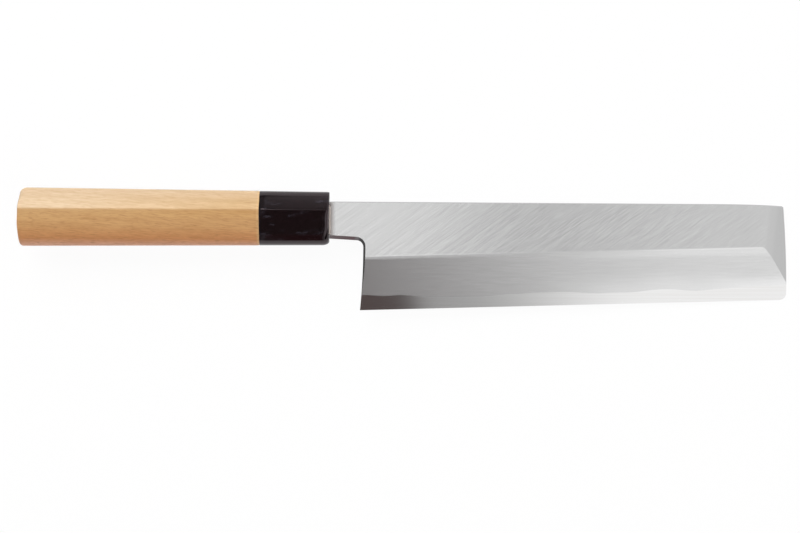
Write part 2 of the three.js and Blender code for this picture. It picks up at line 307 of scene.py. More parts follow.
@dataclass(frozen=True)
class GroundIron:
    """Soft iron off the grinding wheel, the stones and the file.

    The flat keeps fine slanted strokes of the wheel, the bevel a matt haze with faint lines along the blade,
    and the filed edges and the end bevel are smooth. The bevel shines more where it was honed, and the neck
    is darkened by painted shade where it enters the ferrule. The wheel's strokes get shorter from the neck
    on and are strongest a third of the way along. They are drawn coarser than grit leaves them, so that they
    show.

    neck is where the neck leaves the ferrule, in metres in the row frame. Strokes are a length and a width in
    millimetres, and strength is told by shares of change_length.
    """

    neck: float
    flat: str = "#D6D6D6"
    flat_low: str = "#C6C6C6"
    bevel: str = "#D0D0D0"
    bevel_low: str = "#CACACA"
    filed: str = "#C9C9C9"
    honed: str = "#E0E0E0"
    # The next colour is painted shade on the neck where it enters the ferrule.
    neck_shade: str = "#8E8886"
    flat_roughness: float = 0.2
    bevel_roughness: float = 0.24
    filed_roughness: float = 0.12
    honed_roughness: float = 0.12
    # Width of that painted shade along the neck, in millimetres.
    neck_shade_width: float = 3.2
    slant: float = 36.0
    short_stroke: Pair = (6.5, 0.22)
    long_stroke: Pair = (30.0, 0.42)
    stone_stroke: Pair = (11.0, 0.45)
    stroke_reach: float = 40.0
    change_length: float = 200.0
    long_share: Pair = (0.75, 0.2)
    long_until: float = 0.6
    strength: tuple[tuple[float, str], ...] = (
        (0.1, "#BDBDBD"),
        (1.0, "#AAAAAA"),
        (0.35, "#FFFFFF"),
        (0.7, "#EBEBEB"),
    )
    relief: float = 0.06
    relief_height: float = 0.1

    def build(self) -> bpy.types.Material:
        """Makes the material: strokes of the wheel and stones, mixed by the shares that each corner holds."""
        material, tree, surface = new_material("soft_iron_ground")
        place = add_node(tree, "ShaderNodeTexCoord").outputs["Object"]
        x = add_node(tree, "ShaderNodeSeparateXYZ", {0: place}).outputs[0]
        grind = add_node(tree, "ShaderNodeAttribute", attribute_name="grind").outputs["Vector"]
        stoned, filed, honed = add_node(tree, "ShaderNodeSeparateXYZ", {0: grind}).outputs
        span = {"Value": x, "From Min": self.neck, "From Max": self.neck + self.change_length * MM}
        ahead = add_node(tree, "ShaderNodeMapRange", span).outputs[0]
        near, far = self.long_share
        span = {"Value": ahead, "From Max": self.long_until, "To Min": near, "To Max": far}
        drawn = add_node(tree, "ShaderNodeMapRange", span).outputs[0]
        short = strokes(tree, *self.short_stroke, self.slant, self.stroke_reach, Detail=1.0)
        long = strokes(tree, *self.long_stroke, self.slant, self.stroke_reach, Detail=1.0)
        inputs = {0: drawn, 2: short, 3: long}
        wheel = add_node(tree, "ShaderNodeMix", inputs, data_type="FLOAT").outputs[0]
        strength = add_node(tree, "ShaderNodeValToRGB", {0: ahead}, stops=self.strength).outputs[0]
        inputs = {0: strength, 2: 0.5, 3: wheel}
        wheel = add_node(tree, "ShaderNodeMix", inputs, data_type="FLOAT").outputs[0]
        stops = ((0.36, self.flat_low), (0.64, self.flat))
        flat = add_node(tree, "ShaderNodeValToRGB", {0: wheel}, stops=stops).outputs[0]
        stone = strokes(tree, *self.stone_stroke, Detail=2.0)
        stops = ((0.3, self.bevel_low), (0.7, self.bevel))
        haze = add_node(tree, "ShaderNodeValToRGB", {0: stone}, stops=stops).outputs[0]
        # Painted shade: the flat darkens from the ferrule over the neck's first millimetres.
        span = {"Value": x, "From Min": self.neck, "From Max": self.neck + self.neck_shade_width * MM}
        unshaded = add_node(tree, "ShaderNodeMapRange", span, interpolation_type="SMOOTHSTEP").outputs[0]
        colour = linear(self.neck_shade)
        gloss = self.flat_roughness
        height = wheel
        layers = (
            (unshaded, flat, self.flat_roughness, wheel),
            (stoned, haze, self.bevel_roughness, stone),
            (filed, linear(self.filed), self.filed_roughness, 0.5),
            (honed, linear(self.honed), self.honed_roughness, 0.5),
        )
        for share, tint, shine, mark in layers:
            inputs = {0: share, 6: colour, 7: tint}
            colour = add_node(tree, "ShaderNodeMix", inputs, data_type="RGBA").outputs[2]
            inputs = {0: share, 2: gloss, 3: shine}
            gloss = add_node(tree, "ShaderNodeMix", inputs, data_type="FLOAT").outputs[0]
            inputs = {0: share, 2: height, 3: mark}
            height = add_node(tree, "ShaderNodeMix", inputs, data_type="FLOAT").outputs[0]
        inputs = {"Strength": self.relief, "Distance": self.relief_height * MM, "Height": height}
        bump = add_node(tree, "ShaderNodeBump", inputs).outputs[0]
        inputs = {"Base Color": colour, "Metallic": 1.0, "Roughness": gloss, "Normal": bump}
        shader = add_node(tree, "ShaderNodeBsdfPrincipled", inputs)
        tree.links.new(shader.outputs[0], surface)
        return material


@dataclass(frozen=True)
class HonedSteel:
    """Hard edge steel, honed bright along its length so that it mirrors far more than the iron.

    The hone's lines are drawn wider than a stone leaves them, so that they show.
    """

    bright: str = "#DDDDDD"
    dull: str = "#D8D7D6"
    roughness: float = 0.07
    stroke: Pair = (70.0, 0.7)
    relief: float = 0.03
    relief_height: float = 0.1

    def build(self) -> bpy.types.Material:
        """Makes the material: a near mirror with hone lines along the edge."""
        material, tree, surface = new_material("edge_steel_honed")
        hone = strokes(tree, *self.stroke, Detail=2.0, Roughness=0.5)
        stops = ((0.3, self.dull), (0.7, self.bright))
        colour = add_node(tree, "ShaderNodeValToRGB", {0: hone}, stops=stops).outputs[0]
        inputs = {"Strength": self.relief, "Distance": self.relief_height * MM, "Height": hone}
        bump = add_node(tree, "ShaderNodeBump", inputs).outputs[0]
        inputs = {"Base Color": colour, "Metallic": 1.0, "Roughness": self.roughness, "Normal": bump}
        shader = add_node(tree, "ShaderNodeBsdfPrincipled", inputs)
        tree.links.new(shader.outputs[0], surface)
        return material


@dataclass(frozen=True)
class Magnolia:
    """Magnolia wood, planed and sanded.

    It is paler on its upper side with painted sheen, palest just over the ridge as a painted highlight, and
    warmer below, reddest along the lower side, with painted bounce light from the floor on the lowest strip,
    and a little darker towards the ferrule, where a hand holds it. Bands, fine fibres and short pores run
    along it at a small angle to the axis, and a fresh pale line shows where it was trimmed to the ferrule.
    Fibres and pores are drawn coarser than they grow, so that they show.

    axis and seam are places in metres in the row frame: the handle's axis across it, and the ferrule's back.
    held and fresh tell where the handled part and the trimmed line start and are full, in millimetres behind
    the seam. Strokes are a length and a width in millimetres. pore_share is how far pores darken the wood
    under and over the ridge.
    """

    axis: float
    seam: float
    # upper and ridge hold painted sheen over the wood's own tone, the ridge's as a painted highlight.
    upper: str = "#D7BD9C"
    ridge: str = "#E0C7A5"
    middle: str = "#D6AD77"
    low: str = "#D4A46E"
    lower: str = "#D89761"
    # The lowest strip's colour is lightened with painted bounce light from the floor.
    lowest_with_painted_bounce: str = "#EAB190"
    handled: str = "#F3E8D3"
    trimmed: str = "#E6C28C"
    pore: str = "#B07C4C"
    band_veil: str = "#F8F4F0"
    fibre_veil: str = "#F2ECE4"
    roughness: float = 0.5
    ior: float = 1.5
    slant: float = -4.5
    half_height: float = 13.4
    held: Pair = (85.0, 10.0)
    fresh: Pair = (1.2, 0.8)
    fresh_share: float = 0.5
    band_stroke: Pair = (70.0, 2.2)
    fibre_stroke: Pair = (7.0, 0.5)
    pore_stroke: Pair = (3.5, 0.4)
    pore_share: Pair = (0.68, 0.26)
    relief: float = 0.1
    relief_height: float = 0.2

    def build(self) -> bpy.types.Material:
        """Makes the material: a change of tone across the handle, with painted sheen and bounce, under bands,
        fibres and pores along it.

        Places across the handle are shares of its height, from the lower side up. The ridge is at 0.64.
        """
        material, tree, surface = new_material("magnolia_sanded")
        multiply = {"data_type": "RGBA", "blend_type": "MULTIPLY"}
        place = add_node(tree, "ShaderNodeTexCoord").outputs["Object"]
        x, y, _ = add_node(tree, "ShaderNodeSeparateXYZ", {0: place}).outputs
        half = self.half_height * MM
        span = {"Value": y, "From Min": self.axis - half, "From Max": self.axis + half}
        across = add_node(tree, "ShaderNodeMapRange", span).outputs[0]
        # Across the handle: painted sheen above the ridge, a painted highlight just over it, and painted
        # bounce light on the lowest strip.
        stops = (
            (0.04, self.lowest_with_painted_bounce),
            (0.9, self.upper),
            (0.13, self.lower),
            (0.33, self.low),
            (0.61, self.middle),
            (0.66, self.ridge),
        )
        tone = add_node(tree, "ShaderNodeValToRGB", {0: across}, stops=stops).outputs[0]
        span = {"Value": across, "From Min": 0.76, "From Max": 0.98, "To Min": 1.0, "To Max": 0.15}
        touched = add_node(tree, "ShaderNodeMapRange", span).outputs[0]
        span = {"Value": across, "From Min": 0.46, "From Max": 0.66, "To Max": touched}
        touched = add_node(tree, "ShaderNodeMapRange", span).outputs[0]
        start, full = (self.seam - behind * MM for behind in self.held)
        span = {"Value": x, "From Min": start, "From Max": full, "To Max": touched}
        worn = add_node(tree, "ShaderNodeMapRange", span).outputs[0]
        inputs = {0: worn, 6: tone, 7: linear(self.handled)}
        tone = add_node(tree, "ShaderNodeMix", inputs, **multiply).outputs[2]
        start, full = (self.seam - behind * MM for behind in self.fresh)
        span = {"Value": x, "From Min": start, "From Max": full, "To Max": self.fresh_share}
        cut = add_node(tree, "ShaderNodeMapRange", span).outputs[0]
        inputs = {0: cut, 6: tone, 7: linear(self.trimmed)}
        tone = add_node(tree, "ShaderNodeMix", inputs, data_type="RGBA").outputs[2]
        bands = strokes(tree, *self.band_stroke, self.slant, Detail=2.0, Roughness=0.5)
        fibres = strokes(tree, *self.fibre_stroke, self.slant, Detail=2.0, Roughness=0.6)
        for grain, dark in ((bands, self.band_veil), (fibres, self.fibre_veil)):
            stops = ((0.32, dark), (0.62, "#FFFFFF"))
            veil = add_node(tree, "ShaderNodeValToRGB", {0: grain}, stops=stops).outputs[0]
            tone = add_node(tree, "ShaderNodeMix", {0: 1.0, 6: tone, 7: veil}, **multiply).outputs[2]
        pores = strokes(tree, *self.pore_stroke, self.slant, Detail=1.0, Roughness=0.5)
        under, over = self.pore_share
        span = {"Value": across, "From Min": 0.55, "From Max": 0.66, "To Min": under, "To Max": over}
        most = add_node(tree, "ShaderNodeMapRange", span).outputs[0]
        span = {"Value": pores, "From Min": 0.54, "From Max": 0.76, "To Max": most}
        fleck = add_node(tree, "ShaderNodeMapRange", span).outputs[0]
        inputs = {0: fleck, 6: tone, 7: linear(self.pore)}
        tone = add_node(tree, "ShaderNodeMix", inputs, data_type="RGBA").outputs[2]
        inputs = {"Strength": self.relief, "Distance": self.relief_height * MM, "Height": pores}
        bump = add_node(tree, "ShaderNodeBump", inputs).outputs[0]
        inputs = {"Base Color": tone, "Roughness": self.roughness, "IOR": self.ior, "Normal": bump}
        shader = add_node(tree, "ShaderNodeBsdfPrincipled", inputs)
        tree.links.new(shader.outputs[0], surface)
        return material


@dataclass(frozen=True)
class BuffaloHorn:
    """Black buffalo horn, polished: near black with a few grey wisps, and a gloss of a plum cast.

    wisp_size is a length and a width in millimetres, and wisp_slant an angle to the axis in degrees.
    """

    black: str = "#0F0809"
    wisp: str = "#35333A"
    gloss: str = "#FFEBF1"
    roughness: float = 0.09
    ior: float = 1.54
    wisp_size: Pair = (9.0, 3.4)
    wisp_slant: float = 12.0

    def build(self) -> bpy.types.Material:
        """Makes the material: sparse wisps in the dark under a smooth polish."""
        material, tree, surface = new_material("buffalo_horn_polished")
        wisps = strokes(tree, *self.wisp_size, self.wisp_slant, Detail=4.0, Roughness=0.6)
        stops = ((0.58, self.black), (0.8, self.wisp))
        colour = add_node(tree, "ShaderNodeValToRGB", {0: wisps}, stops=stops).outputs[0]
        inputs = {"Base Color": colour, "Roughness": self.roughness, "IOR": self.ior}
        inputs["Specular Tint"] = linear(self.gloss)
        shader = add_node(tree, "ShaderNodeBsdfPrincipled", inputs)
        tree.links.new(shader.outputs[0], surface)
        return material


@dataclass(frozen=True)
class BeddingResin:
    """Pale resin that beds the tang, cast and left matt. cloud is the size of its clouds in millimetres."""

    pale: str = "#CABFB8"
    dark: str = "#B2A8A1"
    roughness: float = 0.6
    cloud: float = 2.5

    def build(self) -> bpy.types.Material:
        """Makes the material: a clouded pale beige."""
        material, tree, surface = new_material("bedding_resin_cast")
        clouds = strokes(tree, self.cloud, self.cloud, Detail=2.0, Roughness=0.5)
        stops = ((0.35, self.dark), (0.65, self.pale))
        colour = add_node(tree, "ShaderNodeValToRGB", {0: clouds}, stops=stops).outputs[0]
        inputs = {"Base Color": colour, "Roughness": self.roughness}
        shader = add_node(tree, "ShaderNodeBsdfPrincipled", inputs)
        tree.links.new(shader.outputs[0], surface)
        return material


@dataclass
class Blade:
    """The blade of two forged layers, with its neck and tang.

    Both layers are plates over one plan of rows and columns. Rows run from the spine to the edge, with rows
    on the ridge, the weld and the edge, and columns run from the neck to the tip, with one where the end
    bevel starts.

    Names in _wave hold a wave's height, a crest's place and the wave's length. Names in _from hold a place
    and the margin past it over which something comes in, and names in _until the same for what goes out.
    band_ease, band_lag, hone_weld and hone_weld_height hold a value and what is added to it towards the tip,
    and the tang's sizes a value at the ferrule and one at its end. columns_near are distances before the end
    bevel, on rows of about columns_length, and columns_end are shares across it.
    """

    origin: Array
    reach: float = 210.0
    spine_rise: float = 7.8
    spine_drop: float = 0.9
    spine_drop_length: float = 40.0
    heel_depth: float = 42.0
    edge_rise: float = 6.1
    heel_ahead: float = 14.2
    heel_lean: float = 1.4
    neck_depth: float = 9.85
    neck_taper: float = 0.65
    neck_radius: float = 3.2
    tip_lean: float = 1.75
    tip_radius: float = 3.4
    tip_spine_radius: float = 0.9
    tip_inset: float = 0.08
    neck_thickness: float = 4.0
    tip_thickness: float = 3.0
    steel_share: float = 0.26
    bevel_width: float = 24.5
    edge_land: float = 0.1
    band_level: float = 1.0
    band_ease: Pair = (0.7, 2.9)
    band_lag: Pair = (0.68, -0.2)
    band_from: Pair = (60.0, 100.0)
    spine_chamfer: float = 0.4
    end_length: float = 5.35
    end_slant: float = 2.0
    end_thickness: float = 1.6
    end_ease: float = 0.5
    filed_neck: float = 1.6
    filed_heel: float = 1.0
    filed_slope: float = 0.75
    hollow_depth: float = 0.45
    hollow_edge: float = 1.6
    hollow_spine: float = 3.2
    hollow_heel: float = 2.4
    hollow_tip: float = 3.0
    hollow_power: float = 20.0
    hollow_root: float = 0.4
    shoulder: float = 0.6
    seal_foot: float = -7.4
    seal_head: float = 6.3
    seal_ease: float = 0.4
    neck_gap: float = 0.06
    weld_start: float = 6.0
    weld_rise: float = 5.2
    weld_step: float = 0.03
    weld_heel_wave: Triple = (0.3, 15.7, 18.3)
    weld_heel_until: Pair = (30.0, 25.0)
    weld_slow_wave: Triple = (0.35, 103.0, 70.0)
    weld_far_wave: Triple = (0.42, 152.0, 31.0)
    weld_far_from: Pair = (120.0, 20.0)
    heel_lift: float = 1.5
    heel_lift_until: Pair = (12.0, 42.0)
    middle_lifts: Pair = (0.6, 0.7)
    middle_spans: tuple[Triple, ...] = ((82.0, 108.0, 14.0), (136.0, 158.0, 12.0))
    tip_lift: float = 2.1
    tip_lift_from: Pair = (180.0, 20.0)
    filed_end_from: Pair = (-2.6, 3.5)
    rubbed: float = 0.32
    rubbed_width: float = 0.7
    hone_wide: float = 0.5
    hone_wide_from: Pair = (75.0, 95.0)
    hone_wide_until: Pair = (1.4, 3.2)
    hone_fine: float = 0.35
    hone_fine_from: Pair = (120.0, 60.0)
    hone_fine_until: Pair = (0.0, 1.1)
    hone_weld: Pair = (0.45, 0.2)
    hone_weld_from: Pair = (85.0, 45.0)
    hone_weld_height: Pair = (10.5, -4.0)
    hone_tip_from: Pair = (172.0, 23.0)
    tang_length: float = 98.5
    tang_inside: float = 1.6
    tang_centre: Pair = (-0.6, -0.2)
    tang_half: Pair = (6.2, 2.6)
    tang_deep: Pair = (1.7, 1.2)
    tang_points: int = 32
    rows_neck: int = 22
    rows_fillet: int = 12
    rows_flat: int = 10
    rows_bevel: int = 26
    rows_edge: int = 12
    share_neck: float = 0.586
    share_fillet: float = 0.839
    share_rest: float = 0.161
    flat_crowding: float = 1.8
    bevel_crowding: float = 1.4
    columns_neck: int = 13
    columns_blade: int = 110
    columns_length: float = 185.0
    columns_near: tuple[float, ...] = (6.0, 4.5, 3.4, 2.5, 1.8, 1.2, 0.7, 0.3, 0.0)
    columns_end: tuple[float, ...] = (0.03, 0.07, 0.12, 0.18, 0.25, 0.34, 0.45, 0.58, 0.72, 0.86, 1.0)
    heel_points: int = 400
    tip_points: int = 40
    outline_points: int = 2000
    crease: float = 25.0

    def __post_init__(self) -> None:
        """Works out the weld plane, the fillet's centre, the end bevel's plane and the heel's crossings."""
        self.weld = (self.steel_share - 0.5) * self.neck_thickness
        centre = self.heel_ahead + self.heel_lean - self.neck_radius
        self.fillet = np.array([centre, -self.neck_depth - self.neck_radius])
        start = self.reach - self.end_length - self.tip_lean
        self.end_top = np.array([start, self.spine(start)])
        start -= self.end_slant
        self.end_foot = np.array([start, self.ridge(start)])
        corners = np.array([[1, *self.end_top], [1, *self.end_foot], [1, self.reach, 0]])
        heights = [self.front(self.end_top[0]), self.front(self.end_foot[0])]
        heights.append(self.back(self.reach) + self.end_thickness)
        self.end_plane = np.linalg.solve(corners, heights)
        share = np.linspace(0, 1, self.heel_points)
        x, y = self.heel(share).T
        self.heel_ridge = float(np.interp(0, self.ridge(x) - y, share))
        self.heel_weld = float(np.interp(0, self.weld_line(x) - y, share))

    def thickness(self, x: Array) -> Array:
        """Thickness, which falls evenly from the neck to the tip."""
        return self.neck_thickness + (self.tip_thickness - self.neck_thickness) * x / self.reach

    def back(self, x: Array) -> Array:
        """Height of the back face, the steel's share of the thickness under the weld."""
        return self.weld - self.steel_share * self.thickness(x)

    def front(self, x: Array) -> Array:
        """Height of the flat, the iron's share of the thickness over the weld."""
        return self.weld + (1 - self.steel_share) * self.thickness(x)

    def edge(self, x: Array) -> Array:
        """The cutting edge in plan, a straight line that rises to the tip."""
        return (x - self.heel_ahead) / (self.reach - self.heel_ahead) * self.edge_rise - self.heel_depth

    def ridge(self, x: Array) -> Array:
        """The ridge line in plan, one bevel's width over the edge."""
        return self.edge(x) + self.bevel_width

    def spine(self, x: Array) -> Array:
        """The spine in plan, level and then falling with the cube of the distance near the tip."""
        past = np.maximum(0, x - self.reach + self.spine_drop_length) / self.spine_drop_length
        return self.spine_rise - self.spine_drop * past**3

    def bevel_height(self, x: Array, y: Array) -> Array:
        """Height of the bevel: from the flat at the ridge line down to the edge's land.

        The stones leave a band just under the ridge less steep by a share called lag. The band keeps its
        slope over one width and eases into the bevel over another, which grows towards the tip. The run down
        the bevel is the distance less lag times the integral of that band, whose eased part is
        u - u^3 + u^4 / 2. Over the ridge it goes on straight.
        """
        share = beyond(x, *self.band_from)
        level = self.band_level
        ease = self.band_ease[0] + self.band_ease[1] * share
        lag = self.band_lag[0] + self.band_lag[1] * share
        below = self.ridge(x) - y
        past = np.clip((below - level) / ease, 0, 1)
        run = below - lag * (np.minimum(below, level) + ease * (past - past**3 + past**4 / 2))
        whole = self.bevel_width - lag * (level + ease / 2)
        return self.front(x) - (self.front(x) - self.back(x) - self.edge_land) * run / whole

    def end_height(self, x: Array, y: Array) -> Array:
        """Height of the end bevel's plane."""
        return self.end_plane[0] + self.end_plane[1] * x + self.end_plane[2] * y

    def flat_height(self, x: Array, y: Array) -> Array:
        """Height of the flat with the end bevel, which eases out of it."""
        return soft_lower(self.front(x), self.end_height(x, y), self.end_ease)

    def face_height(self, x: Array, y: Array) -> Array:
        """Height of the front face: the lower of the flat and the bevel."""
        return np.minimum(self.flat_height(x, y), self.bevel_height(x, y))

    def weld_line(self, x: Array) -> Array:
        """The weld in plan on the bevel, which wanders, as layers do that are forged by hand.

        Over the edge and a set rise it has three cosine waves: a short one that fades out past the heel, a
        slow one, and a longer one that comes in towards the tip. It is lifted at the heel, over two spans in
        the middle and at the tip.
        """
        waves = (self.weld_heel_wave, self.weld_slow_wave, self.weld_far_wave)
        heel, slow, far = (high * np.cos((x - crest) * math.tau / long) for high, crest, long in waves)
        heel = heel * (1 - beyond(x, *self.weld_heel_until))
        far = far * beyond(x, *self.weld_far_from)
        lift = self.heel_lift * (1 - beyond(x, *self.heel_lift_until))
        for high, span in zip(self.middle_lifts, self.middle_spans):
            lift = lift + high * band(x, *span)
        end = self.tip_lift * beyond(x, *self.tip_lift_from)
        return self.edge(x) + self.weld_rise + heel + slow + far + lift + end

    def back_height(self, x: Array, y: Array) -> Array:
        """Height of the back: flat lands round a hollow, a parabola across that fades at both ends."""
        low = self.heel_ahead + self.heel_lean + self.hollow_heel
        high = self.reach - self.tip_lean - self.hollow_tip
        place = np.clip((2 * x - low - high) / (high - low), -1, 1)
        fullness = (1 - np.abs(place) ** self.hollow_power) ** self.hollow_root
        top, foot = self.spine(x) - self.hollow_spine, self.edge(x) + self.hollow_edge
        across = (2 * y - top - foot) / np.maximum((top - foot) * fullness, TINY)
        return self.back(x) + self.hollow_depth * fullness**2 * np.maximum(1 - across**2, 0)

    def heel(self, share: Array) -> Array:
        """Points down the heel: a quadratic curve from under the fillet to the corner of the edge."""
        top = np.array([self.heel_ahead + self.heel_lean, self.fillet[1]])
        foot = np.array([self.heel_ahead, -self.heel_depth])
        return bezier(np.array([top, [top[0], (top[1] + foot[1]) / 2], foot]), np.asarray(share))

    def tip(self) -> Array:
        """The end of the blade from the spine to the edge: two small round corners and a leaning curve."""
        share = np.linspace(0, 1, self.tip_points)
        top_x = self.reach - self.tip_lean
        top_y = self.spine(top_x)
        foot_y = self.edge(self.reach)
        before = top_x - self.tip_spine_radius
        after = self.reach - self.tip_radius
        corner = [[before, self.spine(before)], [top_x, top_y], [top_x, top_y - self.tip_spine_radius]]
        foot = [[self.reach, foot_y + self.tip_radius], [self.reach, foot_y], [after, self.edge(after)]]
        lean = [corner[-1], [self.reach, (top_y + foot_y) / 2], foot[0]]
        return np.concatenate([bezier(np.array(part), share) for part in (corner, lean, foot)])

    def row_shares(self) -> tuple[Array, Array, Array]:
        """Shares of the rows over the flat, over the bevel's iron and over its steel, closer at the ridge."""
        neck = np.linspace(0, self.share_neck, self.rows_neck + 1)
        fillet = np.linspace(self.share_neck, self.share_fillet, self.rows_fillet + 1)[1:]
        rest = 1 - (1 - np.linspace(0, 1, self.rows_flat + 1)[1:]) ** self.flat_crowding
        flat = np.concatenate([neck, fillet, self.share_fillet + self.share_rest * rest])
        iron = np.linspace(0, 1, self.rows_bevel + 1)[1:] ** self.bevel_crowding
        return flat, iron, np.linspace(0, 1, self.rows_edge + 1)[1:]

    def heel_shares(self) -> Array:
        """Shares down the heel at which the rows under the fillet start."""
        flat, iron, steel = self.row_shares()
        parts = (
            self.heel_ridge * (flat[-self.rows_flat :] - self.share_fillet) / self.share_rest,
            self.heel_ridge + (self.heel_weld - self.heel_ridge) * iron,
            self.heel_weld + (1 - self.heel_weld) * steel,
        )
        return np.concatenate(parts)

    def filed(self) -> Array:
        """Width of the filed bevel where each row starts.

        It is full at the neck, gets less round the fillet and fades to none at the weld, as 1 less the square
        of the way down.
        """
        turn = np.linspace(self.filed_neck, self.filed_heel, self.rows_fillet + 1)
        down = self.heel_shares()[: -self.rows_edge]
        fade = self.filed_heel * (1 - (down / self.heel_weld) ** 2)
        return np.concatenate([np.zeros(self.rows_neck), turn, fade, np.zeros(self.rows_edge)])

    def heel_side(self, top: float, filed: float) -> Array:
        """Where the rows start: down the neck's end, round the fillet and down the heel.

        Args:
            top: Height of the first row in plan.
            filed: 1 to stay inside the filed bevel, 0 for the outline.

        Returns:
            Points shaped (rows, 2).
        """
        width = self.filed() * filed
        level = np.linspace(0, 1, self.rows_neck + 1)
        foot = self.filed_neck * filed - self.neck_depth
        begin = np.stack([np.full_like(level, self.fillet[0]), top + (foot - top) * level], axis=-1)
        turn = np.radians(np.linspace(90, 0, self.rows_fillet + 1)[1:])
        reach = self.neck_radius + width[self.rows_neck + 1 : self.rows_neck + self.rows_fillet + 1]
        round_ = self.fillet + np.stack([np.cos(turn), np.sin(turn)], axis=-1) * reach[:, None]
        down = self.heel_shares()
        heel = self.heel(down) + np.stack([width[-len(down) :], np.zeros_like(down)], axis=-1)
        return np.concatenate([begin, round_, heel])

    def end_side(self, chamfer: float) -> Array:
        """Where the rows cross the start of the end bevel.

        Args:
            chamfer: How far the top row stays inside the spine.

        Returns:
            Points shaped (rows, 2).
        """
        flat, iron, steel = self.row_shares()
        top = self.end_top - [0, chamfer]
        x = self.end_foot[0]
        ridge, weld, edge = (np.array([[x, line(x)]]) for line in (self.ridge, self.weld_line, self.edge))
        parts = (
            top + (self.end_foot - top) * flat[:, None],
            ridge + (weld - ridge) * iron[:, None],
            weld + (edge - weld) * steel[:, None],
        )
        return np.concatenate(parts)

    def tip_side(self, chamfer: float, tip: float) -> Array:
        """Where the rows end on the tip, with rows at the line where flat and bevel meet and at the weld.

        Args:
            chamfer: How far the top row stays inside the spine.
            tip: How far all rows stay inside the tip.

        Returns:
            Points shaped (rows, 2).
        """
        flat, iron, steel = self.row_shares()
        outline = self.tip() - [tip, 0]
        places = np.linspace(0, 1, self.outline_points)
        x, y = along(outline, places).T
        facet = places[np.argmin(np.abs(self.flat_height(x, y) - self.bevel_height(x, y)))]
        weld = places[np.argmin(np.abs(self.weld_line(x) - y))]
        spots = np.concatenate([facet * flat, facet + (weld - facet) * iron, weld + (1 - weld) * steel])
        points = along(outline, spots)
        points[0, 1] -= chamfer
        return points

    def neck_plan(self, start: float, top: float, filed: float) -> Array:
        """Rows and columns of the neck in plan, with a column where the weld starts.

        The iron, which begins before the weld, has two columns there for the step in its underside. Its upper
        and lower corners reach to the ferrule past the seal.

        Args:
            start: Where the columns begin.
            top: Height of the first row in plan.
            filed: 1 to stay inside the filed bevel, 0 for the outline.

        Returns:
            Points shaped (rows, columns, 2).
        """
        columns = np.linspace(start, self.fillet[0], self.columns_neck)
        columns = np.unique(np.concatenate([columns, [self.weld_start]]))
        if start < self.weld_start:
            columns = np.insert(columns, np.searchsorted(columns, self.weld_start), self.weld_start)
        under = self.neck_under(columns) + self.filed_neck * filed
        y = top + (under - top) * np.linspace(0, 1, self.rows_neck + 1)[:, None]
        x = np.broadcast_to(columns, y.shape)
        if start < self.weld_start:
            past = np.maximum(self.seal_foot - y, y - self.seal_head)
            close = smooth(past / self.seal_ease) * (self.fillet[0] - columns) / (self.fillet[0] - start)
            x = x - close * (self.shoulder - self.neck_gap)
        return np.stack([x, y], axis=-1)

    def plan(
        self, start: float, chamfer: float = 0.0, filed: float = 0.0, tip: float = 0.0
    ) -> tuple[Array, Array]:
        """Rows and columns of the blade in plan.

        Each row runs straight from the heel side to the start of the end bevel and on to the tip, and is then
        bent to the curves of the spine, of the line where flat and bevel meet, and of the weld.

        Args:
            start: Where the neck's columns begin.
            chamfer: How far the top row stays inside the spine.
            filed: 1 to stay inside the filed bevel, 0 for the outline.
            tip: How far the last column stays inside the tip.

        Returns:
            The neck's points and the blade's, shaped (rows, columns, 2).
        """
        flat, iron, steel = self.row_shares()
        top = self.spine_rise - chamfer
        left = self.heel_side(top, filed)
        middle = self.end_side(chamfer)
        right = self.tip_side(chamfer, tip)
        near = 1 - np.array(self.columns_near) / self.columns_length
        first = np.concatenate([np.linspace(0, near[0], self.columns_blade), near[1:]])[:, None]
        second = np.array(self.columns_end)[:, None]
        parts = (
            left[:, None] + (middle - left)[:, None] * first,
            middle[:, None] + (right - middle)[:, None] * second,
        )
        blade = np.concatenate(parts, axis=1)
        ridge, weld = len(flat), len(flat) + len(iron)
        bend = self.spine(blade[0, :, 0]) - chamfer - blade[0, :, 1]
        blade[:ridge, :, 1] += bend * (1 - flat[:, None])
        bend = self.facet_bend(blade[ridge - 1])
        blade[:ridge, :, 1] += bend * flat[:, None]
        blade[ridge:weld, :, 1] += bend * (1 - iron[:, None])
        bend = self.weld_line(blade[weld - 1, :, 0]) - blade[weld - 1, :, 1]
        blade[ridge:weld, :, 1] += bend * iron[:, None]
        blade[weld:, :, 1] += bend * (1 - steel[:, None])
        return self.neck_plan(start, top, filed), blade

    def facet_bend(self, row: Array, step: float = 0.01, rounds: int = 4) -> Array:
        """How far a row's points lie from the line where flat and bevel meet, found by Newton's method.

        Args:
            row: Points in plan, shaped (columns, 2).
            step: Distance over which slopes are taken.
            rounds: Rounds of the method.

        Returns:
            Distances across the blade, 0 at both ends.
        """
        x, y = row[1:-1].T.copy()
        for _ in range(rounds):
            gap = self.flat_height(x, y) - self.bevel_height(x, y)
            rise = self.flat_height(x, y + step) - self.bevel_height(x, y + step) - gap
            y = y - gap * step / rise
        return np.pad(y - row[1:-1, 1], 1)

    def neck_under(self, x: Array) -> Array:
        """The neck's lower side in plan, a straight line that falls a little to the fillet."""
        share = (x - self.shoulder) / (self.fillet[0] - self.shoulder)
        return -self.neck_depth + self.neck_taper * (1 - share)

    def rim(self, neck: Array, blade: Array) -> Array:
        """Points round the outline: the spine, the tip, the last row backwards, the heel and the neck."""
        row = self.rows_neck
        parts = (
            neck[0, :-1],
            blade[0, :-1],
            blade[:-1, -1],
            blade[-1, :0:-1],
            blade[:row:-1, 0],
            neck[-1, :0:-1],
            neck[:0:-1, 0],
        )
        return np.concatenate(parts)

    def lift(self, plan: Array, height: Array) -> Array:
        """Points in plan with their heights."""
        return np.concatenate([plan, np.broadcast_to(height, plan.shape[:-1])[..., None]], axis=-1)

    def faces(self, plan: tuple[Array, Array]) -> tuple[Array, Array]:
        """The front face over a plan."""
        return tuple(self.lift(part, self.face_height(part[..., 0], part[..., 1])) for part in plan)

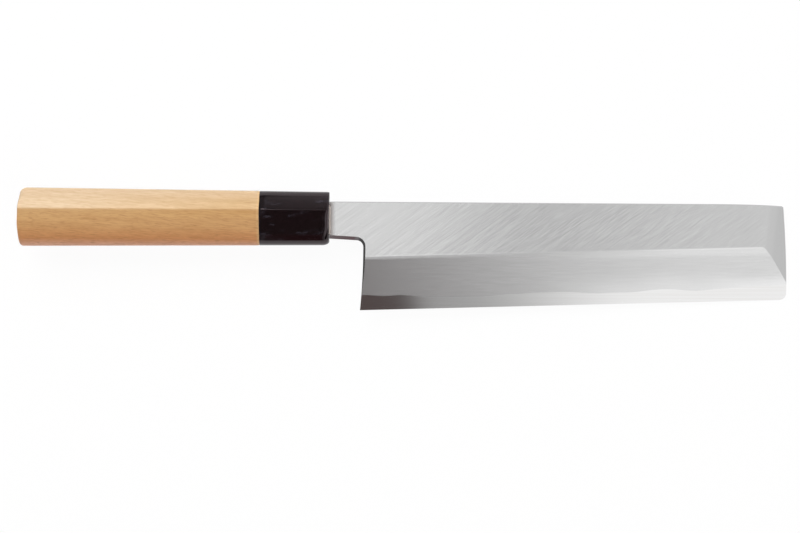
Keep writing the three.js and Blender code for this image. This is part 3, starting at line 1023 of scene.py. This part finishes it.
    def joint(self, plan: tuple[Array, Array], neck_height: Array) -> tuple[Array, Array]:
        """The weld's surface over a plan: a plane that bends up to the wandering line on the bevel."""
        flat, iron, _ = self.row_shares()
        neck, blade = plan
        front = self.bevel_height(blade[-1, :, 0], blade[-1, :, 1])
        share = np.concatenate([np.zeros(len(flat)), iron])[:, None]
        return self.lift(neck, neck_height), self.lift(blade, self.weld + (front - self.weld) * share)

    def iron_patches(self) -> list[Patch]:
        """Grids of the iron: front face, filed bevels and walls, the weld's surface and the tang."""
        flat, iron, _ = self.row_shares()
        rows = len(flat) + len(iron)
        neck, blade = self.plan(self.shoulder, self.spine_chamfer, 1.0, self.tip_inset)
        top = self.faces((neck, blade[:rows]))
        outer_neck, outer_blade = self.plan(self.shoulder)
        outer = (outer_neck, outer_blade[:rows])
        columns = outer_neck[0, :, 0]
        solid = np.arange(len(columns)) < np.searchsorted(columns, self.weld_start, side="right") - 1
        under = self.joint(outer, np.where(solid, self.back(columns), self.weld))
        drop_neck, drop_blade = np.zeros(outer[0].shape[:2]), np.zeros(outer[1].shape[:2])
        drop_blade[:, -1] = self.tip_inset
        drop_blade[:, 0] = self.filed()[:rows] * self.filed_slope
        drop_neck[0], drop_blade[0] = self.spine_chamfer, self.spine_chamfer
        drop_neck[-1] = self.filed_neck * self.filed_slope
        drop_blade[-1] = 0
        side = self.rim(*self.faces(outer))
        side[:, 2] -= self.rim(drop_neck, drop_blade)
        side[:, 2] = np.maximum(side[:, 2], self.rim(*under)[:, 2])
        walls = Patch(np.stack([self.rim(*top), side, self.rim(*under)]), wrap=True, grind=Grind.FILE.value)
        upper, bevel = top[1][: len(flat)], top[1][len(flat) - 1 :]
        front = [Patch(upper, grind=self.flat_grind(upper)), Patch(bevel, grind=self.bevel_grind(bevel))]
        return [Patch(top[0]), *front, walls, Patch(under[0]), Patch(under[1]), self.tang()]

    def flat_grind(self, points: Array) -> Array:
        """Shares over the flat: off the wheel, filed at the end bevel, and rubbed bright along the ridge."""
        slant = (self.end_top - self.end_foot)[0] / (self.end_top - self.end_foot)[1]
        past = points[..., 0] - self.end_foot[0] - (points[..., 1] - self.end_foot[1]) * slant
        shares = beyond(past, *self.filed_end_from)[..., None] * np.array(Grind.FILE.value)
        over = points[..., 1] - points[-1, :, 1]
        shares[..., 2] = self.rubbed * (1 - smooth(over / self.rubbed_width))
        return shares

    def bevel_grind(self, points: Array) -> Array:
        """Shares over the bevel: stoned, and honed under the ridge and towards the weld on the tip's half."""
        x, y = points[..., 0], points[..., 1]
        below = self.ridge(x) - y
        ridge = self.hone_wide * beyond(x, *self.hone_wide_from) * (1 - beyond(below, *self.hone_wide_until))
        ridge += self.hone_fine * beyond(x, *self.hone_fine_from) * (1 - beyond(below, *self.hone_fine_until))
        far = beyond(x, *self.hone_tip_from)
        height = self.hone_weld_height[0] + self.hone_weld_height[1] * far
        weld = (self.hone_weld[0] + self.hone_weld[1] * far) * beyond(x, *self.hone_weld_from)
        weld = weld * (1 - smooth((y - self.weld_line(x)) / height))
        shares = np.broadcast_to(Grind.STONE.value, points.shape).copy()
        shares[..., 2] = np.maximum(ridge, weld)
        return shares

    def tang(self) -> Patch:
        """The tang: a flat bar that tapers from inside the neck to its end, closed at both ends."""
        size = np.array([0, 1, 1, 1, 0])
        x = np.array([self.tang_inside, self.tang_inside, 0.0, -self.tang_length, -self.tang_length])
        taper = np.clip(-x / self.tang_length, 0, 1)
        ends = (self.tang_centre, self.tang_half, self.tang_deep)
        centre, half, deep = (start + (stop - start) * taper for start, stop in ends)
        angle = np.linspace(0, math.tau, self.tang_points, endpoint=False)
        y = centre[:, None] + (half * size)[:, None] * box_wave(np.cos(angle))
        z = (deep * size)[:, None] * box_wave(np.sin(angle))
        return Patch(np.stack([np.broadcast_to(x[:, None], y.shape), y, z], axis=-1), wrap=True)

    def steel_patches(self) -> list[Patch]:
        """Grids of the steel: the weld's surface, a step to the bright bevel, walls and the hollow back."""
        flat, iron, _ = self.row_shares()
        rows = len(flat) + len(iron)
        neck, blade = self.plan(self.weld_start)
        hidden = self.joint((neck, blade[:rows]), self.weld)
        hidden[1][..., 2] -= self.weld_step
        hidden[0][..., 2] -= self.weld_step
        blade = np.insert(blade, rows, blade[rows - 1], axis=0)
        bright = blade[rows:]
        bright = self.lift(bright, self.bevel_height(bright[..., 0], bright[..., 1]))
        top = (hidden[0], np.concatenate([hidden[1], bright]))
        inner_neck, inner = self.plan(self.weld_start, self.spine_chamfer)
        inner = (inner_neck, np.insert(inner, rows, inner[rows - 1], axis=0))
        back = tuple(self.lift(part, self.back_height(part[..., 0], part[..., 1])) for part in inner)
        drop_neck, drop_blade = np.zeros(neck.shape[:2]), np.zeros(blade.shape[:2])
        drop_neck[0], drop_blade[0] = self.spine_chamfer, self.spine_chamfer
        side = self.rim(*(self.lift(part, self.back(part[..., 0])) for part in (neck, blade)))
        side[:, 2] += self.rim(drop_neck, drop_blade)
        walls = Patch(np.stack([self.rim(*top), side, self.rim(*back)]), wrap=True)
        return [Patch(top[0]), Patch(top[1]), walls, Patch(back[0]), Patch(back[1])]

    def build(self) -> None:
        """Makes both layers and dresses them."""
        iron = make_piece("blade_iron", self.iron_patches(), self.origin, self.crease)
        dress(iron, GroundIron(float(self.origin[0])).build(), "iron_body")
        steel = make_piece("blade_edge_steel", self.steel_patches(), self.origin, self.crease)
        dress(steel, HonedSteel().build(), "steel_edge")


def box_wave(wave: Array) -> Array:
    """Squares a cosine or sine towards a box with rounded corners, by the sixth root of its size."""
    return np.sign(wave) * np.abs(wave) ** (1 / 6)


@dataclass
class Handle:
    """The wooden handle with its horn ferrule and the resin round the tang.

    All rings run round the axis from the upper side over the palm side to the lower side and the back.
    Rounds and rims are a depth across the axis and a length along it. Names in _from hold a distance over the
    ridge, under it or under the axis, and the margin past it over which a round comes in. The mortise's sizes
    are those at its mouth and at its end.
    """

    origin: Array
    length: float = 142.0
    ferrule: float = 31.9
    front_height: float = 24.5
    butt_height: float = 26.85
    front_palm: float = 10.6
    butt_palm: float = 11.6
    front_back: float = 9.8
    butt_back: float = 10.8
    ridge_rise: float = 3.85
    upper_angle: float = 38.0
    lower_angle: float = 10.0
    upper_flatness: float = 1.2
    lower_flatness: float = 0.5
    upper_fullness: float = 0.38
    lower_fullness: float = 0.55
    butt_palm_round: Pair = (0.6, 0.6)
    butt_upper_round: Pair = (2.2, 3.2)
    butt_lower_round: Pair = (1.4, 1.9)
    butt_crown: float = 0.5
    butt_skew: float = 0.45
    butt_skew_width: float = 8.0
    butt_upper_from: Pair = (1.0, 6.0)
    butt_lower_from: Pair = (4.0, 7.0)
    grip_start: float = 5.0
    rim_upper: Pair = (0.35, 1.0)
    rim_lower: Pair = (1.4, 1.9)
    rim_foot: Pair = (1.7, 3.2)
    rim_lower_from: Pair = (-1.0, 4.0)
    rim_foot_from: Pair = (4.0, 5.0)
    rim_clear: float = 0.2
    seam_round: float = 0.12
    seam_bend: float = 0.3
    trim: float = 1.1
    trim_depth: float = 0.2
    ridge_round: float = 0.3
    horn_ridge_round: float = 0.3
    seal_depth: float = 2.5
    seal_proud: float = 0.6
    seal_lip: float = 0.03
    seal_shoulder: float = 0.7
    seal_insets: Triple = (0.9, 1.0, 1.2)
    slot_half: float = 6.4
    slot_wide: float = 1.9
    mouth_centre: float = -0.6
    mouth_half: float = 8.1
    mouth_wide: float = 6.1
    bore_flare: float = 1.2
    tenon_gap: float = 0.3
    mortise_length: float = 100.0
    mortise_half: Pair = (6.5, 2.9)
    mortise_wide: Pair = (2.0, 1.5)
    points_upper: int = 36
    points_ridge: int = 8
    points_lower: int = 44
    points_back: int = 64
    rings_butt: int = 14
    rings_rim: int = 12
    rings_grip: int = 26
    rings_trim: int = 5
    rings_side: int = 12
    crease: float = 32.0

    def section(self, x: Array, shrink: Array, ridge_round: float) -> Array:
        """Rings of the handle's outside at given places.

        A ring is a cubic curve from the upper side to the ridge, a small round over the ridge, a cubic curve
        to the lower side and half an ellipse round the back.

        Args:
            x: Places along the axis.
            shrink: How far each ring lies inside the full section.
            ridge_round: How far the round over the ridge reaches on either side.

        Returns:
            Points shaped (places, ring, 3).
        """
        far = -x / self.length
        half = (self.front_height + (self.butt_height - self.front_height) * far) / 2 - shrink
        palm = self.front_palm + (self.butt_palm - self.front_palm) * far - shrink
        back = self.front_back + (self.butt_back - self.front_back) * far - shrink
        ridge = np.full_like(half, self.ridge_rise)
        none = np.zeros_like(half)
        up, down = self.upper_flatness * (half - ridge), self.lower_flatness * (half + ridge)
        high, low = math.radians(self.upper_angle), math.radians(self.lower_angle)
        above = (ridge + up * math.cos(high), palm - up * math.sin(high))
        beneath = (ridge - down * math.cos(low), palm - down * math.sin(low))
        upper = [(half, none), (half, self.upper_fullness * palm), above, (ridge, palm)]
        lower = [(ridge, palm), beneath, (-half, self.lower_fullness * palm), (-half, none)]
        upper, lower = (np.moveaxis(np.array(part), -1, 0) for part in (upper, lower))
        cut_up = ridge_round / (3 * self.upper_flatness * (self.front_height / 2 - self.ridge_rise))
        cut_low = ridge_round / (3 * self.lower_flatness * (self.front_height / 2 + self.ridge_rise))
        first = bezier(upper, np.linspace(0, 1 - cut_up, self.points_upper))
        last = bezier(lower, np.linspace(cut_low, 1, self.points_lower))
        over = np.stack([first[:, -1], upper[:, -1], last[:, 0]], axis=1)
        crest = bezier(over, np.linspace(0, 1, self.points_ridge))[:, 1:-1]
        angle = np.linspace(math.pi, math.tau, self.points_back)[1:-1]
        ellipse = np.stack([half[:, None] * np.cos(angle), back[:, None] * np.sin(angle)], axis=-1)
        ring = np.concatenate([first, crest, last, ellipse], axis=1)
        return np.concatenate([np.broadcast_to(x[:, None, None], (*ring.shape[:2], 1)), ring], axis=-1)

    def ring_angles(self) -> Array:
        """Angles round the mouth's centre at which the front section's points lie, for rings inside it."""
        ring = self.section(np.array([0.0]), np.array([0.0]), self.ridge_round)[0]
        return np.arctan2(ring[:, 2], ring[:, 1] - self.mouth_centre)

    def oval(self, x: Array, half: Array, wide: Array, boxed: bool = False) -> Array:
        """Oval rings about the tang, or rings of a rounded box.

        Args:
            x: Places along the axis.
            half: Half heights.
            wide: Half widths.
            boxed: True for a rounded box.

        Returns:
            Points shaped (places, ring, 3).
        """
        angle = self.ring_angles()
        across, up = np.cos(angle), np.sin(angle)
        if boxed:
            across, up = box_wave(across), box_wave(up)
        y = self.mouth_centre + half[:, None] * across
        z = wide[:, None] * up
        return np.stack([np.broadcast_to(x[:, None], y.shape), y, z], axis=-1)

    def wood_patches(self) -> list[Patch]:
        """The wood as one skin: crowned butt, its rim, the grip, the shoulder, the tenon and the mortise."""
        face = np.linspace(0, 1, self.rings_butt)[:, None]
        edge = self.butt_rim()
        middle = np.array([-self.length - self.butt_skew / 2, 0, 0])
        butt = middle + (edge[0] - middle) * face[:, None]
        butt[..., 0] = middle[0] + (edge[0, :, 0] - middle[0]) * face**2
        grip_x = np.linspace(-self.length + self.grip_start, -self.ferrule - self.trim, self.rings_grip)
        grip = self.section(grip_x, np.zeros_like(grip_x), self.ridge_round)
        down = np.linspace(0, 1, self.rings_trim)[1:]
        close_x = -self.ferrule - self.trim * (1 - down)
        close = self.section(close_x, self.trim_depth * down**2, self.ridge_round)
        tenon_x = np.array([-self.ferrule, -self.seal_depth])
        flare = np.array([self.bore_flare, 0.0]) - self.tenon_gap
        tenon = self.oval(tenon_x, self.mouth_half + flare, self.mouth_wide + flare)
        bore_x = np.array([-self.seal_depth, -self.mortise_length, -self.mortise_length])
        sizes = (np.array([*size, 0.0]) for size in (self.mortise_half, self.mortise_wide))
        bore = self.oval(bore_x, *sizes, boxed=True)
        return [Patch(np.concatenate([butt, edge[1:], grip, close, tenon, bore]), wrap=True)]

    def butt_rim(self) -> Array:
        """Rings over the butt's rim: quarter ellipses, tight on the palm side and larger above and below.

        The lower half stands a little further out, because the butt isn't cut quite square.
        """
        start = -self.length + self.butt_crown
        turn = np.radians(np.linspace(0, 90, self.rings_rim))
        sizes = (self.butt_palm_round, self.butt_upper_round, self.butt_lower_round)
        palm, upper, lower = (
            self.section(start + long * (1 - np.cos(turn)), deep * (1 - np.sin(turn)), self.ridge_round)
            for deep, long in sizes
        )
        high = beyond(palm[-1, :, 1] - self.ridge_rise, *self.butt_upper_from)[:, None]
        low = beyond(-palm[-1, :, 1], *self.butt_lower_from)[:, None]
        rim = palm + (upper - palm) * high + (lower - palm) * low
        rim[..., 0] -= self.butt_skew * smooth((self.ridge_rise - rim[..., 1]) / self.butt_skew_width)
        return rim

    def front_rim(self, deep: float, long: float) -> Array:
        """Rings over the ferrule's front rim: a quarter ellipse, long along the axis and deep across it."""
        turn = np.radians(np.linspace(0, 90, self.rings_rim))
        return self.section(-long * (1 - np.sin(turn)), deep * (1 - np.cos(turn)), self.horn_ridge_round)

    def ferrule_patches(self) -> list[Patch]:
        """The ferrule as one closed band: outside, front rim, front face, tapered bore and back face.

        The front rim is nearly square above the ridge, passes to a full round below it and is longest at the
        lower side.
        """
        bend = np.array([1.0, self.seam_bend])
        back_x = -self.ferrule + np.array([0.0, self.seam_bend]) * self.seam_round
        back = self.section(back_x, bend * self.seam_round, self.horn_ridge_round)
        first, last = -self.ferrule + self.seam_round, -self.rim_foot[1] - self.rim_clear
        side_x = np.linspace(first, last, self.rings_side)
        side = self.section(side_x, np.zeros_like(side_x), self.horn_ridge_round)
        sizes = (self.rim_upper, self.rim_lower, self.rim_foot)
        tight, full, foot = (self.front_rim(*size) for size in sizes)
        lower = beyond(self.ridge_rise - tight[-1, :, 1], *self.rim_lower_from)[:, None]
        under = beyond(-tight[-1, :, 1], *self.rim_foot_from)[:, None]
        front = tight + (full - tight) * lower + (foot - full) * under
        bore_x = np.array([0.0, -self.ferrule])
        flare = np.array([0.0, self.bore_flare])
        bore = self.oval(bore_x, self.mouth_half + flare, self.mouth_wide + flare)
        return [Patch(np.concatenate([back, side, front, bore]), loop=True, wrap=True)]

    def seal_patches(self) -> list[Patch]:
        """The resin as one closed band: outside, front face with a soft rim, tang's slot and back face."""
        rim = [self.seal_lip, self.seal_shoulder * self.seal_proud, self.seal_proud]
        outer_x = np.array([-self.seal_depth, 0.0, *rim])
        inset = np.array([0.0, 0.0, *self.seal_insets])
        outer = self.oval(outer_x, self.mouth_half - inset, self.mouth_wide - inset)
        slot_x = np.array([self.seal_proud, -self.seal_depth])
        slot = self.oval(slot_x, np.full(2, self.slot_half), np.full(2, self.slot_wide), boxed=True)
        return [Patch(np.concatenate([outer, slot]), loop=True, wrap=True)]

    def build(self) -> None:
        """Makes the three pieces and dresses them."""
        wood = make_piece("handle_magnolia", self.wood_patches(), self.origin, self.crease)
        finish = Magnolia(float(self.origin[1]), float(self.origin[0]) - self.ferrule * MM)
        dress(wood, finish.build(), "wood_handle")
        horn = make_piece("ferrule_horn", self.ferrule_patches(), self.origin, self.crease)
        dress(horn, BuffaloHorn().build(), "horn_ferrule")
        seal = make_piece("tang_resin", self.seal_patches(), self.origin, self.crease)
        dress(seal, BeddingResin().build(), "tang_seal")


@dataclass(frozen=True)
class Panel:
    """A soft-edged patch of the tent, with its limits by the names of Tent's measures.

    over holds places and the margins past them over which the patch comes in, under the same for where it
    goes out, and within a low place, a high place and the margin outside them.
    """

    over: tuple[tuple[str, float, float], ...] = ()
    under: tuple[tuple[str, float, float], ...] = ()
    within: tuple[tuple[str, float, float, float], ...] = ()

    def weight(self, measures: dict[str, Array]) -> Array:
        """How much of the patch shows at each place: the product of its soft limits.

        Args:
            measures: The measures of the places, by name.

        Returns:
            Shares from 0 to 1.
        """
        share = np.ones_like(measures["ahead"])
        for name, *limits in self.over:
            share = share * beyond(measures[name], *limits)
        for name, *limits in self.under:
            share = share * (1 - beyond(measures[name], *limits))
        for name, *limits in self.within:
            share = share * band(measures[name], *limits)
        return share


PANELS: dict[str, Panel] = {
    "side beyond the tip": Panel(over=(("fall", 36, 10),), within=(("turn", 50, 130, 20),)),
    "shade behind the spine": Panel(over=(("recline", 18, 6), ("ahead", -0.24, 0.08))),
    "window behind the handle": Panel(within=(("recline", 26, 58, 4), ("ahead", -2.0, -0.24, 0.06))),
    "wall behind the spine": Panel(over=(("recline", 62, 6),)),
    "gap under the wall": Panel(over=(("recline", 84, 2),), under=(("ahead", -0.2, 0.06),)),
    "front": Panel(over=(("lean", 4.9, 3), ("turn", -80, 30))),
    "skirt of the front": Panel(over=(("lean", 56, 10), ("turn", -75, 20)), under=(("ahead", 0.2, 0.3),)),
    "corner behind the butt": Panel(over=(("fall", 56, 10),), within=(("turn", -130, -34, 16),)),
    "gap towards the tip": Panel(over=(("fall", 70, 8),), within=(("turn", 18, 50, 8),)),
    "strip light": Panel(within=(("fall", 78, 88, 3), ("turn", 60, 120, 5))),
    "end beyond the butt": Panel(over=(("behind", 0.75, 0.3), ("lean", 5, 6)), under=(("fall", 62, 8),)),
    "end beyond the tip": Panel(over=(("ahead", 1.2, 0.3),), under=(("fall", 74, 3),)),
}


@dataclass
class Tent:
    """A round tent over the table, with brighter and darker panels. A brightness of 1 is white.

    Places on it are measured by their lean from overhead towards the edge's side or recline towards the
    spine's side, their fall from overhead and their turn from the edge's side towards the tip, all in
    degrees, and by how far they lie ahead towards the tip or behind, in metres. Names in _from hold a place
    and the margin past it over which something comes in, names in _until the same for what goes out, and
    names in _span a low place, a high place and the margin outside them. front, shade and wall hold a plain
    brightness and what is added to it.
    """

    radius: float = 2.2
    rings: int = 181
    ribs: int = 360
    roof: float = 0.41
    lamp: float = 0.84
    lamp_span: Triple = (-0.24, 0.1, 0.04)
    roof_far: float = 0.5
    roof_far_from: Pair = (0.122, 0.276)
    front: Triple = (0.086, 0.38, 0.72)
    front_step_from: Pair = (0.03, 0.027)
    front_far_from: Pair = (0.085, 0.31)
    side: float = 0.5
    shade: Pair = (0.15, 0.4)
    shade_far_from: Pair = (0.25, 0.25)
    window: float = 6.5
    window_mirrored: float = 0.7
    window_far_from: Pair = (0.55, 0.2)
    far_mirrored: float = 0.5
    wall: Pair = (0.1, 0.56)
    wall_foot_from: Pair = (70.0, 14.0)
    wall_butt: float = 0.35
    wall_butt_until: Pair = (-0.26, 0.12)
    pale: float = 1.0
    pale_from: Pair = (0.02, 0.2)
    pale_until: Pair = (78.0, 6.0)
    gap: float = 0.02
    skirt: float = 0.24
    corner: float = 0.1
    strip: float = 4.5
    warm: Triple = (1.25, 0.96, 0.94)
    warm_until: Pair = (0.0, 0.06)
    plum: Triple = (1.06, 0.97, 1.0)
    red: Triple = (0.62, 0.17, 0.2)
    red_span: Triple = (-0.165, -0.085, 0.03)

    def glow(self, place: Array, mirrored: bool) -> Array:
        """Brightness and colour of the tent at given places.

        The roof is dim, with a lamp over the neck, and brighter towards the tip. Each panel takes the place
        of what is under it. The shade and the wall are paler towards the tip, the front is warm at the butt's
        side and brightens towards the tip in two steps, and its skirt is red at the ferrule. In mirror images
        the window's far part is dimmer and both far ends are an even grey, so that the blade is neither
        washed out nor black.

        Args:
            place: Points in metres, shaped (points, 3).
            mirrored: True for the tent as mirror images show it.

        Returns:
            Red, green and blue at each point.
        """
        x, y, z = place.T
        lean = np.degrees(np.arctan2(-y, np.maximum(z, TINY)))
        fall = np.degrees(np.arccos(np.clip(z / self.radius, 0, 1)))
        turn = np.degrees(np.arctan2(x, -y))
        measures = {"lean": lean, "recline": -lean, "fall": fall, "turn": turn, "ahead": x, "behind": -x}
        roof = self.roof + self.lamp * band(x, *self.lamp_span)
        roof = roof + self.roof_far * beyond(x, *self.roof_far_from)
        deep = self.front[0] + self.front[1] * beyond(x, *self.front_step_from)
        deep = deep + self.front[2] * beyond(x, *self.front_far_from)
        shade = self.shade[0] + self.shade[1] * beyond(x, *self.shade_far_from)
        lit = self.wall_butt + (1 - self.wall_butt) * beyond(x, *self.wall_butt_until)
        wall = self.wall[0] + self.wall[1] * beyond(-lean, *self.wall_foot_from) * lit
        pale = self.pale * beyond(x, *self.pale_from) * (1 - beyond(-lean, *self.pale_until))
        brown = 1 + (np.array(self.warm) - 1) * (1 - beyond(x, *self.warm_until))[:, None]
        dusk = self.red + (np.array(self.plum) - self.red) * (1 - band(x, *self.red_span))[:, None]
        dimmed = (self.window_mirrored - self.window) * mirrored
        pane = self.window + dimmed * beyond(-x, *self.window_far_from)
        bright = {
            "side beyond the tip": self.side,
            "shade behind the spine": shade[:, None],
            "window behind the handle": pane[:, None],
            "wall behind the spine": np.maximum(wall, pale)[:, None],
            "gap under the wall": self.gap,
            "front": deep[:, None] * brown,
            "skirt of the front": self.skirt * dusk,
            "corner behind the butt": self.corner,
            "gap towards the tip": self.gap,
            "strip light": self.strip,
        }
        if mirrored:
            bright |= {"end beyond the butt": self.far_mirrored, "end beyond the tip": self.far_mirrored}
        light = np.repeat(roof[:, None], 3, axis=1)
        for name, colour in bright.items():
            light = light + (colour - light) * PANELS[name].weight(measures)[:, None]
        return light

    def build(self) -> None:
        """Makes the tent as half a sphere that the camera doesn't see."""
        down = np.radians(np.linspace(0, 90, self.rings))
        fall, turn = np.meshgrid(down, np.linspace(0, math.tau, self.ribs, False), indexing="ij")
        points = np.stack([np.sin(fall) * np.cos(turn), np.sin(fall) * np.sin(turn), np.cos(fall)], axis=-1)
        tent = make_piece("tent", [Patch(points * self.radius / MM, wrap=True)], np.zeros(3), STAGE_CREASE)
        place = np.empty(3 * len(tent.data.vertices), np.float32)
        tent.data.vertices.foreach_get("co", place)
        material, tree, surface = new_material("tent_cloth")
        views = []
        for name, mirrored in (("glow", False), ("mirrored", True)):
            light = self.glow(place.reshape(-1, 3).astype(float), mirrored)
            layer = tent.data.attributes.new(name, "FLOAT_VECTOR", "POINT")
            layer.data.foreach_set("vector", light.ravel().astype(np.float32))
            views.append(add_node(tree, "ShaderNodeAttribute", attribute_name=name).outputs["Vector"])
        glossy = add_node(tree, "ShaderNodeLightPath").outputs["Is Glossy Ray"]
        inputs = {0: glossy, 6: views[0], 7: views[1]}
        bright = add_node(tree, "ShaderNodeMix", inputs, data_type="RGBA").outputs[2]
        cloth = add_node(tree, "ShaderNodeEmission", {"Color": bright, "Strength": 1.0})
        tree.links.new(cloth.outputs[0], surface)
        material.cycles.emission_sampling = "NONE"
        tent.data.materials.append(material)
        tent.visible_camera = False


@dataclass
class Studio:
    """A pale floor under a round tent, and the photograph's camera."""

    origin: Array
    axis_x: float = 32.49
    axis_y: float = -21.77
    distance: float = 950.0
    frame_width: float = 367.2
    roll: float = 0.38
    sensor: float = 36.0
    clip: Pair = (0.05, 50.0)
    paper: str = "#F6F6F6"
    paper_low: str = "#F2F2F2"
    fibre: float = 3.0
    white_share: float = 0.95
    floor_half: float = 6000.0
    floor_drop: float = 0.1
    tip_clearance: float = 0.25

    def camera(self) -> None:
        """Sets the camera straight over the knife, turned by the small angle at which the knife lies."""
        data = bpy.data.cameras.new("camera")
        data.sensor_fit = "HORIZONTAL"
        data.sensor_width = self.sensor
        data.lens = self.sensor * self.distance / self.frame_width
        data.clip_start, data.clip_end = self.clip
        camera = bpy.data.objects.new("camera", data)
        camera.location = self.origin + np.array([self.axis_x, self.axis_y, self.distance]) * MM
        camera.rotation_euler = (0, 0, math.radians(self.roll))
        bpy.context.scene.collection.objects.link(camera)
        bpy.context.scene.camera = camera

    def floor(self) -> None:
        """Lays the floor against the ferrule's back and the tip, on which such a knife comes to rest."""
        low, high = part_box("horn_ferrule")
        tip_low, tip_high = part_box("steel_edge")
        slope = (tip_low.z + self.tip_clearance * MM - low.z) / (tip_high.x - high.x)
        side = np.linspace(-self.floor_half, self.floor_half, 3) * MM
        x, y = np.meshgrid(side, side, indexing="xy")
        height = low.z + (x - high.x) * slope - self.floor_drop * MM
        points = np.stack([x, y, height], axis=-1)
        floor = make_piece("floor", [Patch(points / MM)], np.zeros(3), STAGE_CREASE)
        if floor.data.polygons[0].normal.z < 0:
            floor.data.flip_normals()
        material, tree, surface = new_material("white_paper")
        fibre = strokes(tree, self.fibre, self.fibre, Detail=2.0)
        stops = ((0.3, self.paper_low), (0.7, self.paper))
        tone = add_node(tree, "ShaderNodeValToRGB", {0: fibre}, stops=stops).outputs[0]
        paper = add_node(tree, "ShaderNodeBsdfDiffuse", {"Color": tone}).outputs[0]
        white = add_node(tree, "ShaderNodeEmission", {"Color": WHITE, "Strength": 1.0}).outputs[0]
        path = add_node(tree, "ShaderNodeLightPath").outputs
        seen = path["Is Camera Ray"]
        for ray in ("Is Glossy Ray", "Is Transmission Ray"):
            seen = add_node(tree, "ShaderNodeMath", {0: seen, 1: path[ray]}, operation="MAXIMUM").outputs[0]
        inputs = {0: seen, 1: self.white_share}
        share = add_node(tree, "ShaderNodeMath", inputs, operation="MULTIPLY").outputs[0]
        mixed = add_node(tree, "ShaderNodeMixShader", {0: share, 1: paper, 2: white}).outputs[0]
        tree.links.new(mixed, surface)
        floor.data.materials.append(material)

    def backdrop(self) -> None:
        """Sets the white that shows past the floor."""
        world = bpy.data.worlds.new("white_room")
        world.use_nodes = True
        bpy.context.scene.world = world
        tree = world.node_tree
        tree.nodes.clear()
        glow = add_node(tree, "ShaderNodeBackground", {"Color": WHITE, "Strength": 1.0})
        add_node(tree, "ShaderNodeOutputWorld", {"Surface": glow.outputs[0]})

    def build(self) -> None:
        """Sets up the studio."""
        self.camera()
        self.floor()
        self.backdrop()
        Tent().build()
        bpy.context.scene.view_settings.view_transform = "Standard"


def datum() -> Array:
    """Where the handle's axis leaves the ferrule, in metres in the row frame."""
    low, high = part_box("horn_ferrule")
    under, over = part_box("iron_body")
    return np.array([high.x, (low.y + high.y) / 2, (under.z + over.z) / 2])


def main() -> None:
    """Builds the knife and the studio."""
    logging.basicConfig(level=logging.INFO, format="%(name)s: %(message)s")
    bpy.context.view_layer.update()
    origin = datum()
    Blade(origin).build()
    Handle(origin).build()
    Studio(origin).build()


if __name__ == "__main__":
    main()
